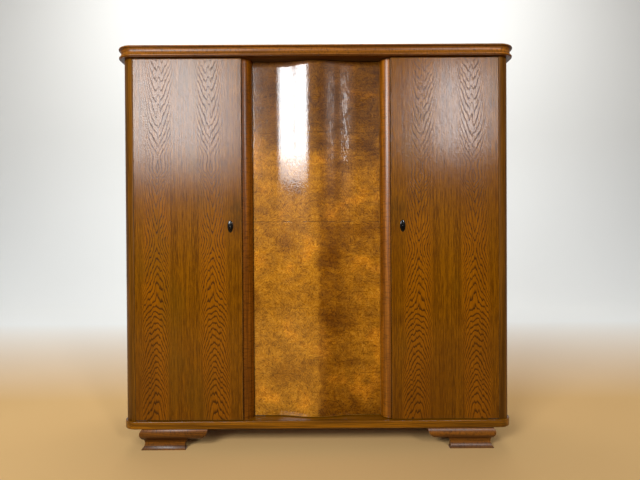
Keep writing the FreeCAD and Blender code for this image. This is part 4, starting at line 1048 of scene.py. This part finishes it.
def strokes(place, patches, stretch):
    """Short strokes of grain that turn another way in each small patch of the burr."""
    tree = place.id_data
    warp = node(tree, "ShaderNodeTexNoise", {"Vector": place, "Scale": 45.0, "Detail": 2.0}).outputs["Color"]
    warp = node(tree, "ShaderNodeVectorMath", {0: warp, "Scale": 0.02}, operation="SCALE").outputs[0]
    bent = vectors("ADD", place, warp)
    patch = node(tree, "ShaderNodeTexVoronoi", {"Vector": bent, "Scale": patches}).outputs
    angle = product(axes(patch["Color"])["X"], math.pi)
    aside = vectors("SUBTRACT", bent, patch["Position"])
    turned = node(tree, "ShaderNodeVectorRotate", {"Vector": aside, "Angle": angle},
                  rotation_type="Y_AXIS").outputs[0]
    return mottle(vectors("ADD", turned, patch["Color"]), stretch, 2, 0.6)


curls = strokes(folded, 22.0, (290, 1, 62))
hooks = strokes(where, 38.0, (420, 1, 100))
light, mid, dark = paint(182, 121, 26), paint(148, 91, 6), paint(52, 24, 0)
ground = blended(ramp(curls, 0.36, 0.6, 1.0, 0.0), mid, light)
ground = blended(ramp(hooks, 0.32, 0.46, 0.35, 0.0), ground, paint(208, 154, 66))
ground = blended(ramp(grit, 0.5, 0.66, 0.0, 0.5), ground, paint(112, 62, 0))
right_half = ramp(place["X"], -0.02, 0.05)
ripples = product(ramp(ripple, 0.5, 0.64, 0.0, 0.6), right_half)
ground = blended(ripples, ground, paint(112, 64, 0))
dense = ramp(clusters, 0.4, 0.62)
ticks = calc("MAXIMUM", ramp(curls, 0.58, 0.68), ramp(hooks, 0.56, 0.66, 0.0, 0.85))
ticks = product(ticks, scaled(dense, 0.5, 0.33))
ground = blended(ticks, ground, dark)
ground = blended(product(dense, 0.35), ground, paint(104, 60, 0))
edge_wander = mottle(where, (5, 5, 9), 4, 0.6)
heart = scaled(edge_wander, 0.07, calc("SUBTRACT", place["X"], 0.033))
outward = calc("MAXIMUM", ramp(place["X"], 0.06, 0.2, 1.0, 0.42), ramp(place["Z"], 0.15, 0.6, 1.0, 0.0))
heart = product(ramp(heart, 0.0, 0.024), outward, ramp(clouds, 0.34, 0.6, 0.7, 1.0),
                ramp(place["Z"], 0.9, 1.2, 1.0, 0.7), 0.9)
ground = blended(heart, ground, paint(188, 172, 106), "MULTIPLY")
ground = blended(ramp(clouds, 0.48, 0.66, 0.0, 0.75), ground, paint(196, 184, 150), "MULTIPLY")
ground = blended(ramp(clouds, 0.34, 0.48, 0.42, 0.0), ground, paint(255, 244, 235), "OVERLAY")
# The top leaf is darker: partly its own tone, and partly painted shade from the cornice over the recess
top_leaf_and_shade = ramp(scaled(clouds, 0.3, place["Z"]), 1.42, 1.72, 0.0, 0.9)
ground = blended(top_leaf_and_shade, ground, paint(152, 142, 130), "MULTIPLY")
joint = 0.0
for level, share in leaf_joints:
    gap = calc("ABSOLUTE", calc("SUBTRACT", place["Z"], level))
    trace = product(ramp(gap, 0.0006, 0.0028, 1.0, 0.0), share)
    joint = calc("MAXIMUM", joint, trace)
joint = product(joint, ramp(mottle(where, (14, 1, 2), 2), 0.42, 0.58))
colour = blended(product(joint, 0.8), ground, paint(60, 30, 0))
worn = grouped(wear_group, Position=where, Amount=0.8)["Worn"]
coated(shader, blended(worn, colour, paint(216, 156, 70)), ramp(clusters, 0.3, 0.8, 0.26, 0.42))
dull = ramp(scaled(clouds, 0.08, place["X"]), 0.03, 0.1)
rubbed = ramp(mottle(where, (130, 130, 24), 3, 0.65), 0.46, 0.62, 0.0, 0.2)
rubbed = product(rubbed, ramp(place["X"], 0.07, 0.105, 0.4, 1.0))
polish = scaled(dull, calc("SUBTRACT", rubbed, 0.85), 0.85)
feed(polish, shader.inputs["Coat Weight"])
orange_peel = mottle(where, (150, 150, 75), 3, 0.6)
height = scaled(joint, -0.4, scaled(ticks, -0.06, orange_peel))
feed(raised(shader, height, 0.0003, 0.9), shader.inputs["Coat Normal"])
fitted(panel, "z", "centre_door", "burr_veneer", burr, "centre_door_panel")

# Slide bolts: steel barrel bolts at the top and bottom of the closing post. They slip
# into the top board and the floor board, and hold the post that the right door locks into.
fitting("slide_bolt_guides", "z", "centre_door", 0.004)
for name in ("top_slide_bolt", "bottom_slide_bolt"):
    fitting(name, "z", name, 0.02)
